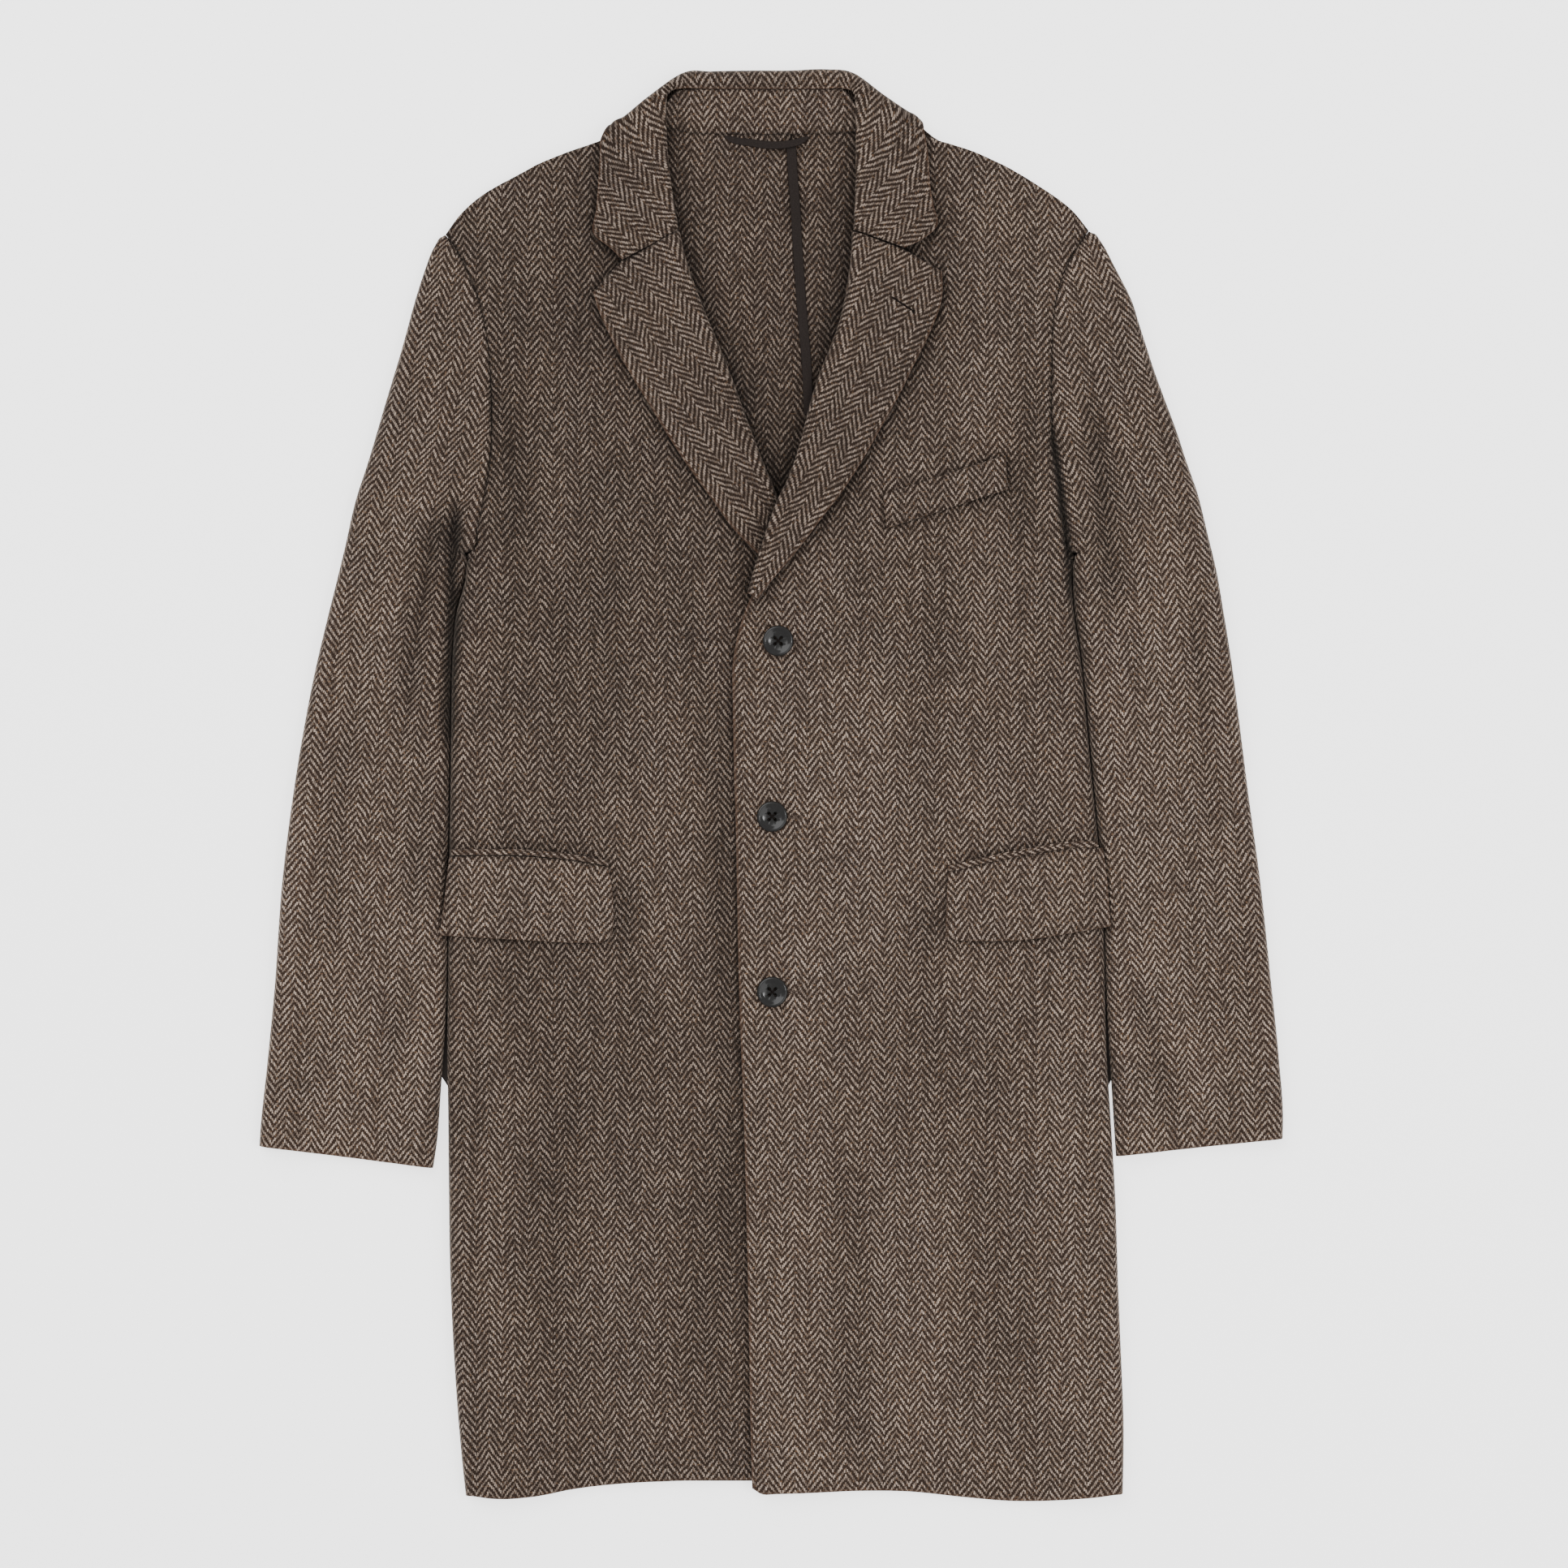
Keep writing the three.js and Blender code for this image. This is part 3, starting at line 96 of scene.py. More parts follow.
# Tables of one side, out from the middle. y, out: fold, front_edge, front_neck, sleeve_out, sleeve_in.
# out, y: armhole, hem, shoulder. roll_line: out, y, edge out, edge y, radius of the roll, bow of the row.
RIGHT = dict(
    sign=-1,
    fold=[(-510, 215), (-493, 217), (-445, 221.5), (-389.5, 225), (-324, 227.5), (-258, 228), (-192, 229),
          (-128.5, 228.5), (-42.5, 227.5), (25, 226.5), (76, 226), (118.5, 223), (159, 214), (166, 217.5),
          (200, 218), (265, 217), (302, 218), (343, 225), (370, 236), (390, 248), (480, 252)],
    armhole=[(210, 166), (207.7, 180), (202.5, 205), (198.4, 235), (198, 265), (198.7, 293),
             (201.7, 320), (207, 343), (214.5, 362), (221, 375), (226, 383), (230.5, 388.5)],
    hem=[(-40, -493), (14.5, -492), (38.5, -492), (83, -493.5), (115.5, -495.5), (149, -500), (171, -504),
         (192.5, -505), (212.5, -502.5), (230, -495)],
    shoulder=[(89, 474), (107, 461), (123.6, 454), (155, 443), (181, 430), (204, 417), (219.6, 403.4),
              (230.5, 388.5)],
    front_edge=[(-510, -36), (0, -37.5), (60, -38.3), (107, -38.5)],
    front_neck=[(394, 72), (423.5, 77), (452, 81.5), (474, 89)],
    roll_line=[(64.5, 390.9, 125, 347.8, 4, 6.4), (60.5, 373, 121.5, 336, 4, 3.2),
               (54, 353.5, 112.5, 316, 3.9, 0), (45.5, 331.5, 100.5, 293.5, 3.8, 0),
               (36, 308.5, 84.5, 267, 3.6, 0), (27, 285.5, 68.5, 241, 3.4, 0),
               (16.5, 256.5, 53, 218, 3.1, 0), (7, 231.5, 39, 199, 2.8, 0), (-3, 207.5, 26, 181, 2.5, 0),
               (-14.5, 179, 7, 161.5, 2.3, 0), (-26, 148.5, -12.5, 140.5, 2.1, 0),
               (-32.8, 125, -26, 121.5, 1.9, 0)],
    notch_share=0.63,
    sleeve_out=[(-255.5, 362), (-247, 361.5), (-193.5, 356), (-141.5, 351), (-93.5, 348), (-44.5, 343),
                (12.5, 335), (68.5, 325), (118.5, 313.5), (154.5, 304.5), (173.5, 300), (198, 294.5),
                (231, 284), (267, 273.5), (308.5, 261), (346.5, 250.5), (358.5, 246.5), (370, 242.5),
                (378.5, 239), (384.5, 235.3)],
    sleeve_in=[(-271, 239), (-262.5, 237.5), (-233.7, 234.6), (-209, 233), (-192, 231.7)])
LEFT = dict(
    sign=1,
    fold=[(-510, 248.5), (-497.5, 249), (-455.5, 249.5), (-412, 248), (-367.5, 246), (-301.5, 244),
          (-264, 242), (-180.5, 237), (-103, 235.5), (-41.5, 231.5), (-1, 227.5), (37.5, 224), (89, 219),
          (137.5, 213), (159, 213.5), (166, 217.5), (200, 218), (265, 217), (302, 217), (343, 224),
          (370, 236), (390, 248), (480, 252)],
    armhole=[(209.6, 166), (208, 180), (204.5, 205), (200.3, 235), (198.3, 265), (198.5, 293),
             (198.8, 320), (201.7, 343), (207.2, 362), (213.5, 375), (219.5, 384), (224.5, 391.5)],
    hem=[(-12, -497.5), (-8, -501.5), (15, -501), (59, -499.5), (103.5, -500), (125.5, -502.5),
         (147, -505), (169, -506.5), (202.5, -506), (224, -504), (244, -501.5), (252, -497.5)],
    shoulder=[(89, 474), (101, 462.6), (115, 455.8), (138, 449), (166, 436.7), (192, 421.2), (212, 406.5),
              (224.5, 391.5)],
    front_edge=[(-510, -12.5), (-455.5, -14), (-389.5, -15), (-324, -16.5), (-258, -18), (-206, -20),
                (-129, -22.5), (-26, -24.5), (25, -26), (76, -26.5), (107, -24.5)],
    front_neck=[(394, 66), (423.5, 75), (452, 81), (474, 89)],
    roll_line=[(57.2, 391.2, 121, 362.4, 4, 3.2), (57, 378.5, 121, 345, 4, 1.4), (54.5, 357, 114, 323, 4, 0),
               (49.5, 331.5, 104, 302.5, 3.9, 0), (41.5, 308.5, 91.5, 277, 3.8, 0),
               (33.5, 288.5, 78, 252.5, 3.6, 0), (27.5, 268, 64.5, 229, 3.4, 0), (20, 239, 51.5, 209, 3.1, 0),
               (12, 216, 37, 189.5, 2.8, 0), (4.5, 200.5, 24, 172, 2.5, 0), (-3, 179, 11, 156, 2.3, 0),
               (-9, 160.5, 1, 144.5, 2.1, 0), (-16.5, 136, -9.5, 131, 1.9, 0)],
    notch_share=0.55,
    sleeve_out=[(-250.5, 362), (-247, 362.5), (-219, 361.5), (-167.5, 356.5), (-116.5, 351.5), (-78, 347.5),
                (-39.5, 342), (-1, 337), (50.5, 330.5), (89, 325.5), (120, 320.5), (156.5, 314),
                (182.5, 307.5), (205, 302), (226.5, 294.5), (251, 286.5), (288.5, 272.5), (325.5, 260.5),
                (346.5, 253.5), (358.5, 247), (370, 241), (380.5, 235.5), (386.5, 230.5)],
    sleeve_in=[(-263, 244), (-240, 242.5), (-192, 239.5)])

# sleeve rows: way up from the cuff outside and inside, roll outside and inside, height in the middle
SLEEVE_ROWS = [(0, 0, 4.3, 4, 5.8), (12, 13, 4.5, 4.2, 5.9), (56, 59, 4.8, 4.5, 6),
               (110, 115, 5, 4.7, 6.2), (188, 197, 5.2, 4.9, 6.4), (238, 249, 5.2, 5, 6.6),
               (288, 296, 5.3, 5.1, 7), (333, 334, 5.4, 5.2, 7.6), (372, 366, 5.5, 5.2, 8.4),
               (402, 391, 5.6, 5.2, 9.2), (428, 412, 5.6, 5.2, 9.8), (448, 426, 5.7, 5.2, 10.4)]
# rows where the inner fold ends: outer y, inner y, share of the half turn; cap rows: outer y, roll, height
SLEEVE_TURN = [(201, 160.5, 0.66), (207, 162.5, 0.33)]
CAP_ROWS = [(214, 5.7, 11.2), (226, 5.7, 11.6), (246, 5.7, 11.8), (268, 5.6, 11.8), (288, 5.5, 11.6),
            (306, 5.3, 11.2), (323, 5, 10.6), (339, 4.5, 9.6), (354, 3.9, 8.4), (366, 3.2, 7.2),
            (376, 2.4, 6), (384.5, 1.7, 4.9)]
SLEEVE_WRAP, SLEEVE_LAST_WRAP, SLEEVE_LOFT_RUN, SLEEVE_AWAY = 22.0, 7.4, 48.0, 0.8
# cloth direction of the sleeves: distance out that it leans to, how far it leans, shift of the columns
SLEEVE_GRAIN_OUT, SLEEVE_LEAN, SLEEVE_GRAIN_SHIFT = 300, 0.65, 7
SLEEVE_TOP_SHARES = [0.14, 0.29, 0.43, 0.57, 0.71, 0.86]

# collar rows: roll x, y, fold x, y or None, edge x, y, wraps under
COLLAR_ROWS = [
    ((-65.4, 391.7), None, (-105, 370.8), 0), ((-66.7, 400.5), None, (-113.9, 379.4), 0),
    ((-67.3, 405.1), None, (-125.4, 389), 0), ((-69, 414.9), None, (-123.6, 405.1), 0),
    ((-71.3, 432.1), None, (-121.9, 426.4), 0), ((-73, 449.4), None, (-120.8, 444.2), 0),
    ((-73.6, 463), None, (-120.2, 455.7), 0), ((-73.6, 474), (-114.2, 465.2), (-114.2, 465.2), 0),
    ((-73.6, 477.5), (-111.5, 467.6), (-108.3, 463.4), 1), ((-73.6, 481), (-107.5, 468.8), (-100.6, 450), 1),
    ((-72.5, 489), (-88.3, 484.2), (-84, 445), 1), ((-66, 491.7), (-62.5, 503), (-64, 443.6), 1),
    ((-42, 491.7), (-42, 504.6), (-42, 443.6), 1), ((-14, 491.7), (-14, 505.2), (-14, 443.6), 1),
    ((14, 491.7), (14, 505.2), (14, 443.6), 1), ((38, 491.7), (40, 506), (40, 443.6), 1),
    ((53, 491.7), (58, 503.6), (58, 443.6), 1), ((58.7, 487.5), (80.5, 486.6), (76, 445), 1),
    ((59.2, 478.1), (98.4, 474.2), (90.9, 450), 1), ((59.6, 474), (103.2, 471.8), (100.6, 467.8), 1),
    ((59.8, 470), (106.8, 468.3), (106.8, 468.3), 0), ((59.8, 461.5), None, (108.6, 458.4), 0),
    ((59.8, 446.5), None, (111, 444.2), 0), ((59.8, 429.2), None, (112.4, 423.5), 0),
    ((59.2, 414.9), None, (115, 408.5), 0), ((58.7, 405.1), None, (117.6, 395.3), 0),
    ((58.7, 399.3), None, (107.2, 385.4), 0), ((58.2, 392.1), None, (94.2, 379.4), 0)]
COLLAR_TOP = 11.8
STAND_TOP_Z, STAND_ENDS, STAND_FOOT_GAP, STAND_FOOT_OVER = 10.4, (-74.8, 60.4), -1.4, 1.3
STAND_EDGE = [(-72.9, 480), (-71.3, 486), (-68, 489), (-61, 490.8), (-52, 491.3), (42, 491.3), (50, 490.6),
              (55, 487.5), (58, 479)]

# pieces on the fronts: rows of x, y
FLAP_RIGHT = [
    [(-227, -50.9), (-200, -50.4), (-174.8, -50.9), (-145, -53.5), (-115.4, -58.4)],
    [(-228.5, -64), (-201, -64), (-174, -65), (-144, -68), (-112.6, -73)],
    [(-230.5, -80), (-203, -80), (-174, -81), (-144, -84), (-111.6, -89)],
    [(-232.5, -95), (-205, -95.5), (-175, -97), (-144, -99), (-111.9, -101)],
    [(-233.6, -103), (-206, -104.2), (-175, -106), (-144, -107.8), (-114, -107.6)],
    [(-234, -106.7), (-206, -108), (-175, -110), (-145, -111.7), (-120, -112)]]
FLAP_LEFT = [
    [(234, -45), (211, -45.4), (188.6, -48.9), (161, -54.1), (126, -62.4)],
    [(236, -58), (212, -60), (188, -64), (160, -69), (125, -76)],
    [(237.6, -74), (212.5, -76), (187, -80), (159, -85), (124.4, -91)],
    [(238.6, -88), (212.5, -91), (186, -95), (158, -99), (124.2, -102)],
    [(239.4, -96), (212.5, -100), (185.5, -104), (157.5, -107), (125.4, -107)],
    [(240, -99.8), (212, -104.6), (185, -108.8), (157, -110.5), (131, -109.8)]]
JET_RIGHT = [
    [(-225.5, -46), (-203.5, -45.7), (-174.8, -46), (-146, -48.6), (-115, -54)],
    [(-225.5, -50.2), (-203.5, -49.8), (-174.8, -50.3), (-145.5, -52.9), (-115.2, -57.7)]]
JET_LEFT = [
    [(230.6, -40.4), (211, -40.6), (188.6, -44.2), (161, -49.4), (125, -58.2)],
    [(231.2, -44.3), (211, -44.7), (188.6, -48.2), (161, -53.4), (125.8, -61.7)]]
CHEST_WELT = [
    [(79.3, 205), (100.9, 211.9), (122.5, 218.8), (144, 225.7), (165.6, 232.6)],
    [(80.1, 197), (101.5, 203.9), (123, 210.8), (144.6, 217.7), (166.2, 224.6)],
    [(80.9, 189), (102.2, 195.9), (123.6, 202.8), (145.2, 209.6), (166.8, 216.4)],
    [(81.7, 181), (102.9, 187.9), (124.2, 194.8), (145.8, 201.7), (167.3, 208.5)]]
LOOP_PATH = [(-32.8, 458.3), (-25.9, 455.6), (-14.4, 453.9), (-2.9, 452.2), (8.6, 452.2), (20.1, 454.6),
             (26.5, 457.8)]
BINDING_PATH = [(14.3, 451.5), (15.6, 430), (17, 412), (19.2, 375), (22, 335), (25, 300), (27, 262)]
LOOP_WIDTHS = [(0, 1.2), (0.14, 4.4), (0.5, 5.4), (0.84, 4.8), (1, 1.2)]
BINDING_WIDTHS = [(0, 6.9), (1, 6.9)]
BUTTONS = [(5, 101.4), (0.8, -22.7), (0.9, -146.6)]
BUTTON_SHANK, BUTTON_HOLE_RADIUS, BUTTON_HOLE_AT = 0.35, 1.05, 1.85
BUTTON_FACE = 2.5
BUTTON_SECTION = [(0, 0), (8.6, 0), (10.4, 1.1), (10.9, 2.3), (10.3, 3.5), (9.3, 3.9), (8.2, 3.5),
                  (6.6, 2.7), (0, BUTTON_FACE)]
# button threads: half length over the holes, radius
THREAD_REACH, THREAD_RADIUS = BUTTON_HOLE_AT * 1.05, 0.3

# creases: weight at the middle, half width, points x, y; a weight under 0 is a trough. Through RELIEF_TONE
# the same weights also paint light onto ridges and shade into troughs.
CREASES = [
    (-0.19, 9, [(-224, 210), (-240, 165), (-251, 115), (-259, 60), (-261, 25)]),
    (0.16, 12, [(-238, 235), (-258, 175), (-272, 115), (-280, 50)]),
    (-0.12, 10, [(-300, 60), (-306, 0), (-310, -70), (-306, -140)]),
    (0.10, 14, [(-330, 20), (-338, -60), (-342, -150)]),
    (-0.16, 9, [(-255, -120), (-262, -170), (-275, -215), (-285, -250)]),
    (-0.14, 12, [(228, 277), (235, 220), (238, 160), (240, 118)]),
    (0.14, 13, [(262, 250), (270, 190), (276, 120), (282, 60)]),
    (-0.13, 10, [(300, 150), (302, 90), (306, 20), (310, -40)]),
    (-0.18, 8, [(255, -130), (266, -180), (280, -220), (292, -248)]),
    (0.12, 10, [(270, -110), (284, -165), (300, -205), (316, -235)]),
    (-0.10, 12, [(330, -60), (336, -120), (340, -190)]),
    (-0.20, 10, [(-196, 300), (-186, 250), (-178, 200), (-182, 150)]),
    (0.16, 16, [(-168, 330), (-150, 270), (-146, 200), (-160, 120)]),
    (-0.14, 14, [(-120, 180), (-112, 110), (-118, 40), (-130, -20)]),
    (0.14, 18, [(-80, 100), (-74, 20), (-70, -80), (-76, -180)]),
    (-0.16, 12, [(-104, -62), (-100, -110), (-98, -170), (-104, -240)]),
    (-0.12, 16, [(-150, -150), (-146, -230), (-150, -320), (-156, -420)]),
    (0.16, 18, [(-190, -140), (-190, -230), (-188, -330), (-184, -470)]),
    (0.12, 20, [(-100, -300), (-92, -380), (-84, -490)]),
    (-0.14, 12, [(-50, -220), (-46, -320), (-40, -420), (-36, -490)]),
    (-0.22, 9, [(-37, 60), (-36, -40), (-34, -140), (-32, -260), (-28, -400)]),
    (-0.18, 11, [(190, 310), (182, 250), (176, 200), (186, 150)]),
    (0.16, 16, [(160, 330), (146, 270), (150, 140), (158, 60)]),
    (-0.14, 14, [(120, 160), (112, 90), (110, 20), (118, -50)]),
    (0.12, 18, [(76, 110), (70, 30), (66, -60), (70, -160)]),
    (-0.16, 12, [(118, -66), (112, -110), (110, -160), (116, -230)]),
    (-0.12, 15, [(160, -150), (154, -240), (150, -340), (152, -430)]),
    (0.16, 18, [(200, -140), (204, -230), (206, -340), (204, -470)]),
    (0.14, 20, [(100, -250), (100, -350), (110, -480)]),
    (-0.12, 14, [(60, -240), (56, -330), (56, -430), (62, -496)]),
    (0.10, 12, [(24, -60), (22, -180), (24, -300), (30, -430)]),
    (-0.10, 10, [(-150, 400), (-140, 370), (-136, 330)]),
    # troughs along the gaps between sleeves and body: dents that also paint shade into the cloth there
    (-0.08, 6, [(-214, 175), (-221, 110), (-227, 60), (-229, 0), (-230, -120), (-229, -240)]),
    (-0.50, 5.5, [(-221, 214), (-223, 185), (-225, 150), (-225, 119), (-228, 60), (-229, 10)]),
    (-0.22, 20, [(-228, 222), (-236, 180), (-241, 120), (-243, 50), (-243, -30), (-240, -120)]),
    (-0.55, 3.6, [(198, 262), (200, 240), (204, 215), (206, 195), (209, 175), (211, 150), (213, 120)]),
    (0.10, 6, [(210, 300), (212, 260), (216, 230)]),
    (-0.16, 8, [(226, 300), (228, 277), (233, 220), (240, 150), (245, 90)]),
    # troughs beside the flaps' inner ends, which paint shade there
    (-0.12, 5, [(-107, -62), (-103, -84), (-102, -104)]),
    (-0.12, 5, [(117, -66), (115, -84), (116, -104)]),
    (-0.08, 6, [(216, 175), (220, 90), (226, 20), (232, -60), (237, -140), (243, -250)]),
    (0.10, 12, [(150, 410), (146, 370), (150, 340)]),
]


# Small helpers.
def mix(a, b, t):
    return a + (b - a) * t


def held(v, low, high):
    return min(high, max(low, v))


def eased(t):
    s = held(t, 0.0, 1.0)
    return s * s * (3 - 2 * s)


def soft_max(a, b):
    return 0.5 * (a + b + math.hypot(a - b, 1))


def value_at(table, key):
    """Smooth value of a two-column table at a key, without overshoot."""
    last = len(table) - 1
    if key <= table[0][0]:
        return table[0][1]
    if key >= table[last][0]:
        return table[last][1]
    i = 0
    while table[i + 1][0] < key:
        i += 1

    def slope(k):
        return (table[k + 1][1] - table[k][1]) / (table[k + 1][0] - table[k][0])

    def bend(k):
        if k == 0:
            return slope(0)
        if k == last:
            return slope(last - 1)
        before, after = slope(k - 1), slope(k)
        return 0 if before * after <= 0 else 2 * before * after / (before + after)

    step = table[i + 1][0] - table[i][0]
    t = (key - table[i][0]) / step
    h = t * t * (3 - 2 * t)
    return (mix(table[i][1], table[i + 1][1], h)
            + step * (t * (1 - t) * (1 - t) * bend(i) - t * t * (1 - t) * bend(i + 1)))


def normals_of(grid):
    along = np.empty_like(grid)
    along[1:-1] = grid[2:] - grid[:-2]
    along[0], along[-1] = grid[1] - grid[0], grid[-1] - grid[-2]
    over = np.empty_like(grid)
    over[:, 1:-1] = grid[:, 2:] - grid[:, :-2]
    over[:, 0], over[:, -1] = grid[:, 1] - grid[:, 0], grid[:, -1] - grid[:, -2]
    n = np.cross(over, along)
    return n / np.maximum(np.linalg.norm(n, axis=2, keepdims=True), 1e-9)


class Pile:
    """Height map of the pieces that lie under a panel."""

    def __init__(self, *grids):
        self.low = (-400.0, -540.0)
        self.wide, self.long = 200, 270
        self.top = np.zeros((self.long, self.wide))
        for grid, thickness in grids:
            self.add(grid, thickness)

    def add(self, grid, thickness):
        n = normals_of(grid)
        top = grid + n * (thickness / 2) * np.where(n[..., 2:3] < 0, -1, 1)
        fine = filled(top, 1.5)
        i = ((fine[..., 0] - self.low[0]) // CELL).astype(int).ravel()
        j = ((fine[..., 1] - self.low[1]) // CELL).astype(int).ravel()
        np.maximum.at(self.top, (j, i), fine[..., 2].ravel())

    def over(self, x, y):
        reach = math.ceil(DRAPE_REACH / CELL)
        i0 = int((x - self.low[0]) // CELL)
        j0 = int((y - self.low[1]) // CELL)
        i, j = slice(max(0, i0 - reach), i0 + reach + 1), slice(max(0, j0 - reach), j0 + reach + 1)
        dx = self.low[0] + (np.arange(self.wide)[i] + 0.5) * CELL - x
        dy = self.low[1] + (np.arange(self.long)[j] + 0.5) * CELL - y
        away = np.maximum(0, np.hypot(dx[None, :], dy[:, None]) - CELL / 2)
        return max(0.0, float((self.top[j, i] - away * away / (2 * DRAPE_RADIUS)).max()))


def resampled(grid, places):
    """Cubic samples of rows of a grid at fractional row places, with uneven spacing allowed for."""
    gaps = np.linalg.norm(np.diff(grid[..., :3], axis=0), axis=2).mean(axis=1) + 1e-6
    slope = np.empty_like(grid)
    step = gaps[:, None, None]
    chord = np.diff(grid, axis=0) / step
    slope[1:-1] = (chord[:-1] * step[1:] + chord[1:] * step[:-1]) / (step[1:] + step[:-1])
    slope[0], slope[-1] = chord[0], chord[-1]
    i = np.minimum(places.astype(int), len(grid) - 2)
    t = (places - i)[:, None, None]
    h = gaps[i][:, None, None]
    a, b = grid[i], grid[i + 1]
    return (a * (1 + 2 * t) * (1 - t) ** 2 + b * t * t * (3 - 2 * t)
            + slope[i] * h * t * (1 - t) ** 2 - slope[i + 1] * h * t * t * (1 - t))


def places_for(grid, spacing, borders=()):
    gaps = np.linalg.norm(np.diff(grid[..., :3], axis=0), axis=2).max(axis=1)
    parts = np.maximum(1, np.ceil(gaps / spacing)).astype(int)
    places = np.concatenate([*(k + np.arange(n) / n for k, n in enumerate(parts)), [len(grid) - 1]])
    last = len(grid) - 1
    added = [place for away in borders for place in (away / gaps[0], last - away / gaps[-1])
             if 0 < place < last and np.abs(places - place).min() * gaps.mean() > 0.3]
    return np.sort(np.concatenate([places, added]))


def finer(grid, spacing, borders=()):
    """A grid drawn finer both ways by smooth curves, with added lines near its borders."""
    for _ in range(2):
        grid = np.swapaxes(grid, 0, 1)
        grid = resampled(grid, places_for(grid, spacing, borders))
    return grid


def filled(grid, spacing):
    """A grid with straight steps of at most the spacing between its points."""
    for _ in range(2):
        grid = np.swapaxes(grid, 0, 1)
        places = places_for(grid, spacing)
        i = np.minimum(places.astype(int), len(grid) - 2)
        t = (places - i)[:, None, None]
        grid = grid[i] * (1 - t) + grid[i + 1] * t
    return grid


# Body.
def roll_at(y):
    return value_at(SIDE_ROLL, y)


def split_at(side, y):
    return value_at(side["fold"], y) - CLOTH / 2 - roll_at(y)


def shoulder_top(side, out):
    return value_at(BACK_NECK, abs(out)) if out < BACK_NECK[-1][0] else value_at(side["shoulder"], out)


def front_height(side, pile, out, y):
    flat = pile.over(side["sign"] * out, y) + REST + CLOTH / 2
    fall = 0.5 + 0.5 * math.cos(math.pi * held((split_at(side, y) - out) / SIDE_LOFT_RUN, 0, 1))
    shoulder = eased((shoulder_top(side, out) - y) / SHOULDER_LOFT_RUN)
    return soft_max(flat, FRONT_LOFT + (CLOTH / 2 + 2 * roll_at(y) - FRONT_LOFT) * fall * shoulder)


def body_point(side, pile, run, y):
    """Point at a run past the top of the side fold, with cloth coordinates in mm after it."""
    split, sign = split_at(side, y), side["sign"]
    uv = (sign * (split + run), y)
    if run <= 0:
        return (sign * (split + run), y, front_height(side, pile, split + run, y), *uv)
    top = front_height(side, pile, split, y)
    roll = (top - CLOTH / 2) / 2
    if run < math.pi * roll:
        angle = run / roll
        return (sign * (split + roll * math.sin(angle)), y, CLOTH / 2 + roll + roll * math.cos(angle), *uv)
    return (sign * (split - run + math.pi * roll), y, CLOTH / 2, *uv)


def row_share(side, out, y):
    return (y - ARMPIT_Y) / (shoulder_top(side, out) - ARMPIT_Y)


def row_y(side, share, out):
    return mix(ARMPIT_Y, shoulder_top(side, out), share)


def under_run(y):
    return mix(2, SIDE_SEAM_IN - roll_at(y) - CLOTH / 2, eased((ARMPIT_Y - y) / SIDE_SEAM_TURN))


def inner_edge(side):
    above = []
    for out, y, edge_out, edge_y, roll, _ in side["roll_line"]:
        back = (LAPEL_CLOTH / 2 + roll + ROLL_GAP) / math.hypot(edge_out - out, edge_y - y)
        above.append((mix(y, edge_y, back), mix(out, edge_out, back)))
    rows = sorted([*side["front_edge"], *above, *side["front_neck"]])
    return [row for i, row in enumerate(rows) if i == 0 or row[0] - rows[i - 1][0] > 3]


def front_runs(start, end, bend, under):
    runs = [start + run for run in FRONT_INNER_RUNS]
    first, to = runs[-1], min(-8, end - 16)
    runs += [mix(first, to, share) for share in FRONT_TOP_SHARES]
    if under > 0:
        return runs + [-8, 0, bend * 0.25, bend * 0.5, bend * 0.75, bend, bend + under * 0.5, bend + under]
    return runs + [mix(to, end, k / 7) for k in range(8)]


def front_rows(side, pile):
    inner = inner_edge(side)
    rows = []
    for y in BODY_ROWS:
        split, bend, under = split_at(side, y), math.pi * roll_at(y), under_run(y)
        fade = held(1 - (y - HEM_Y) / HEM_FADE, 0, 1)
        rows.append([body_point(side, pile, run,
                                y + (value_at(side["hem"], split + min(run, 0)) - HEM_Y) * fade)
                     for run in front_runs(value_at(inner, y) - split, bend + under, bend, under)])
    for outer_y, rise, share in ARMPIT_TURN:
        start = value_at(inner, outer_y + rise) - split_at(side, outer_y)
        end = math.pi * roll_at(outer_y) * share
        rows.append([body_point(side, pile, run,
                                outer_y + rise * (1 - held((run - start) / (end - start), 0, 1)))
                     for run in front_runs(start, end, 0, 0)])
    for out, outer_y in side["armhole"]:
        share, start = row_share(side, out, outer_y), BACK_NECK[-1][0]
        for _ in range(12):
            start = value_at(inner, row_y(side, share, start))
        outs = [run + 1000 for run in front_runs(start - 1000, out - SEAM - 1000, 0, 0)]
        rows.append([body_point(side, pile, o - split_at(side, row_y(side, share, o)), row_y(side, share, o))
                     for o in outs])
    return np.array(rows, float)


def back_height(x, y):
    return CLOTH / 2 + COLLAR_UNDER_LIFT * eased((y - 392) / 42) * eased((168 - abs(x)) / 48)


def back_rows(side):
    rows = []
    sign = side["sign"]

    def line(y_of, end):
        seam = sign * value_at(CENTRE_SEAM, y_of(0)) + SEAM / 2
        rows.append([(sign * out, y_of(out), back_height(out, y_of(out)), sign * out, y_of(out))
                     for out in [seam, *BACK_OUTS, (BACK_OUTS[-1] + end) / 2, end]])

    for y in BODY_ROWS:
        wave = 7 if y < HEM_Y + 30 else 0
        line(lambda out: y + wave, split_at(side, y) - under_run(y) - SEAM)
    for outer_y, rise, _ in ARMPIT_TURN:
        end = mix(split_at(side, ARMPIT_Y) - 2, side["armhole"][0][0], (outer_y - ARMPIT_Y) / 7) - SEAM
        line(lambda out: outer_y + rise * (1 - held(out / end, 0, 1)), end)
    for out, outer_y in side["armhole"]:
        share = row_share(side, out, outer_y)
        line(lambda o: row_y(side, share, o), out - SEAM)
    return np.array(rows, float)


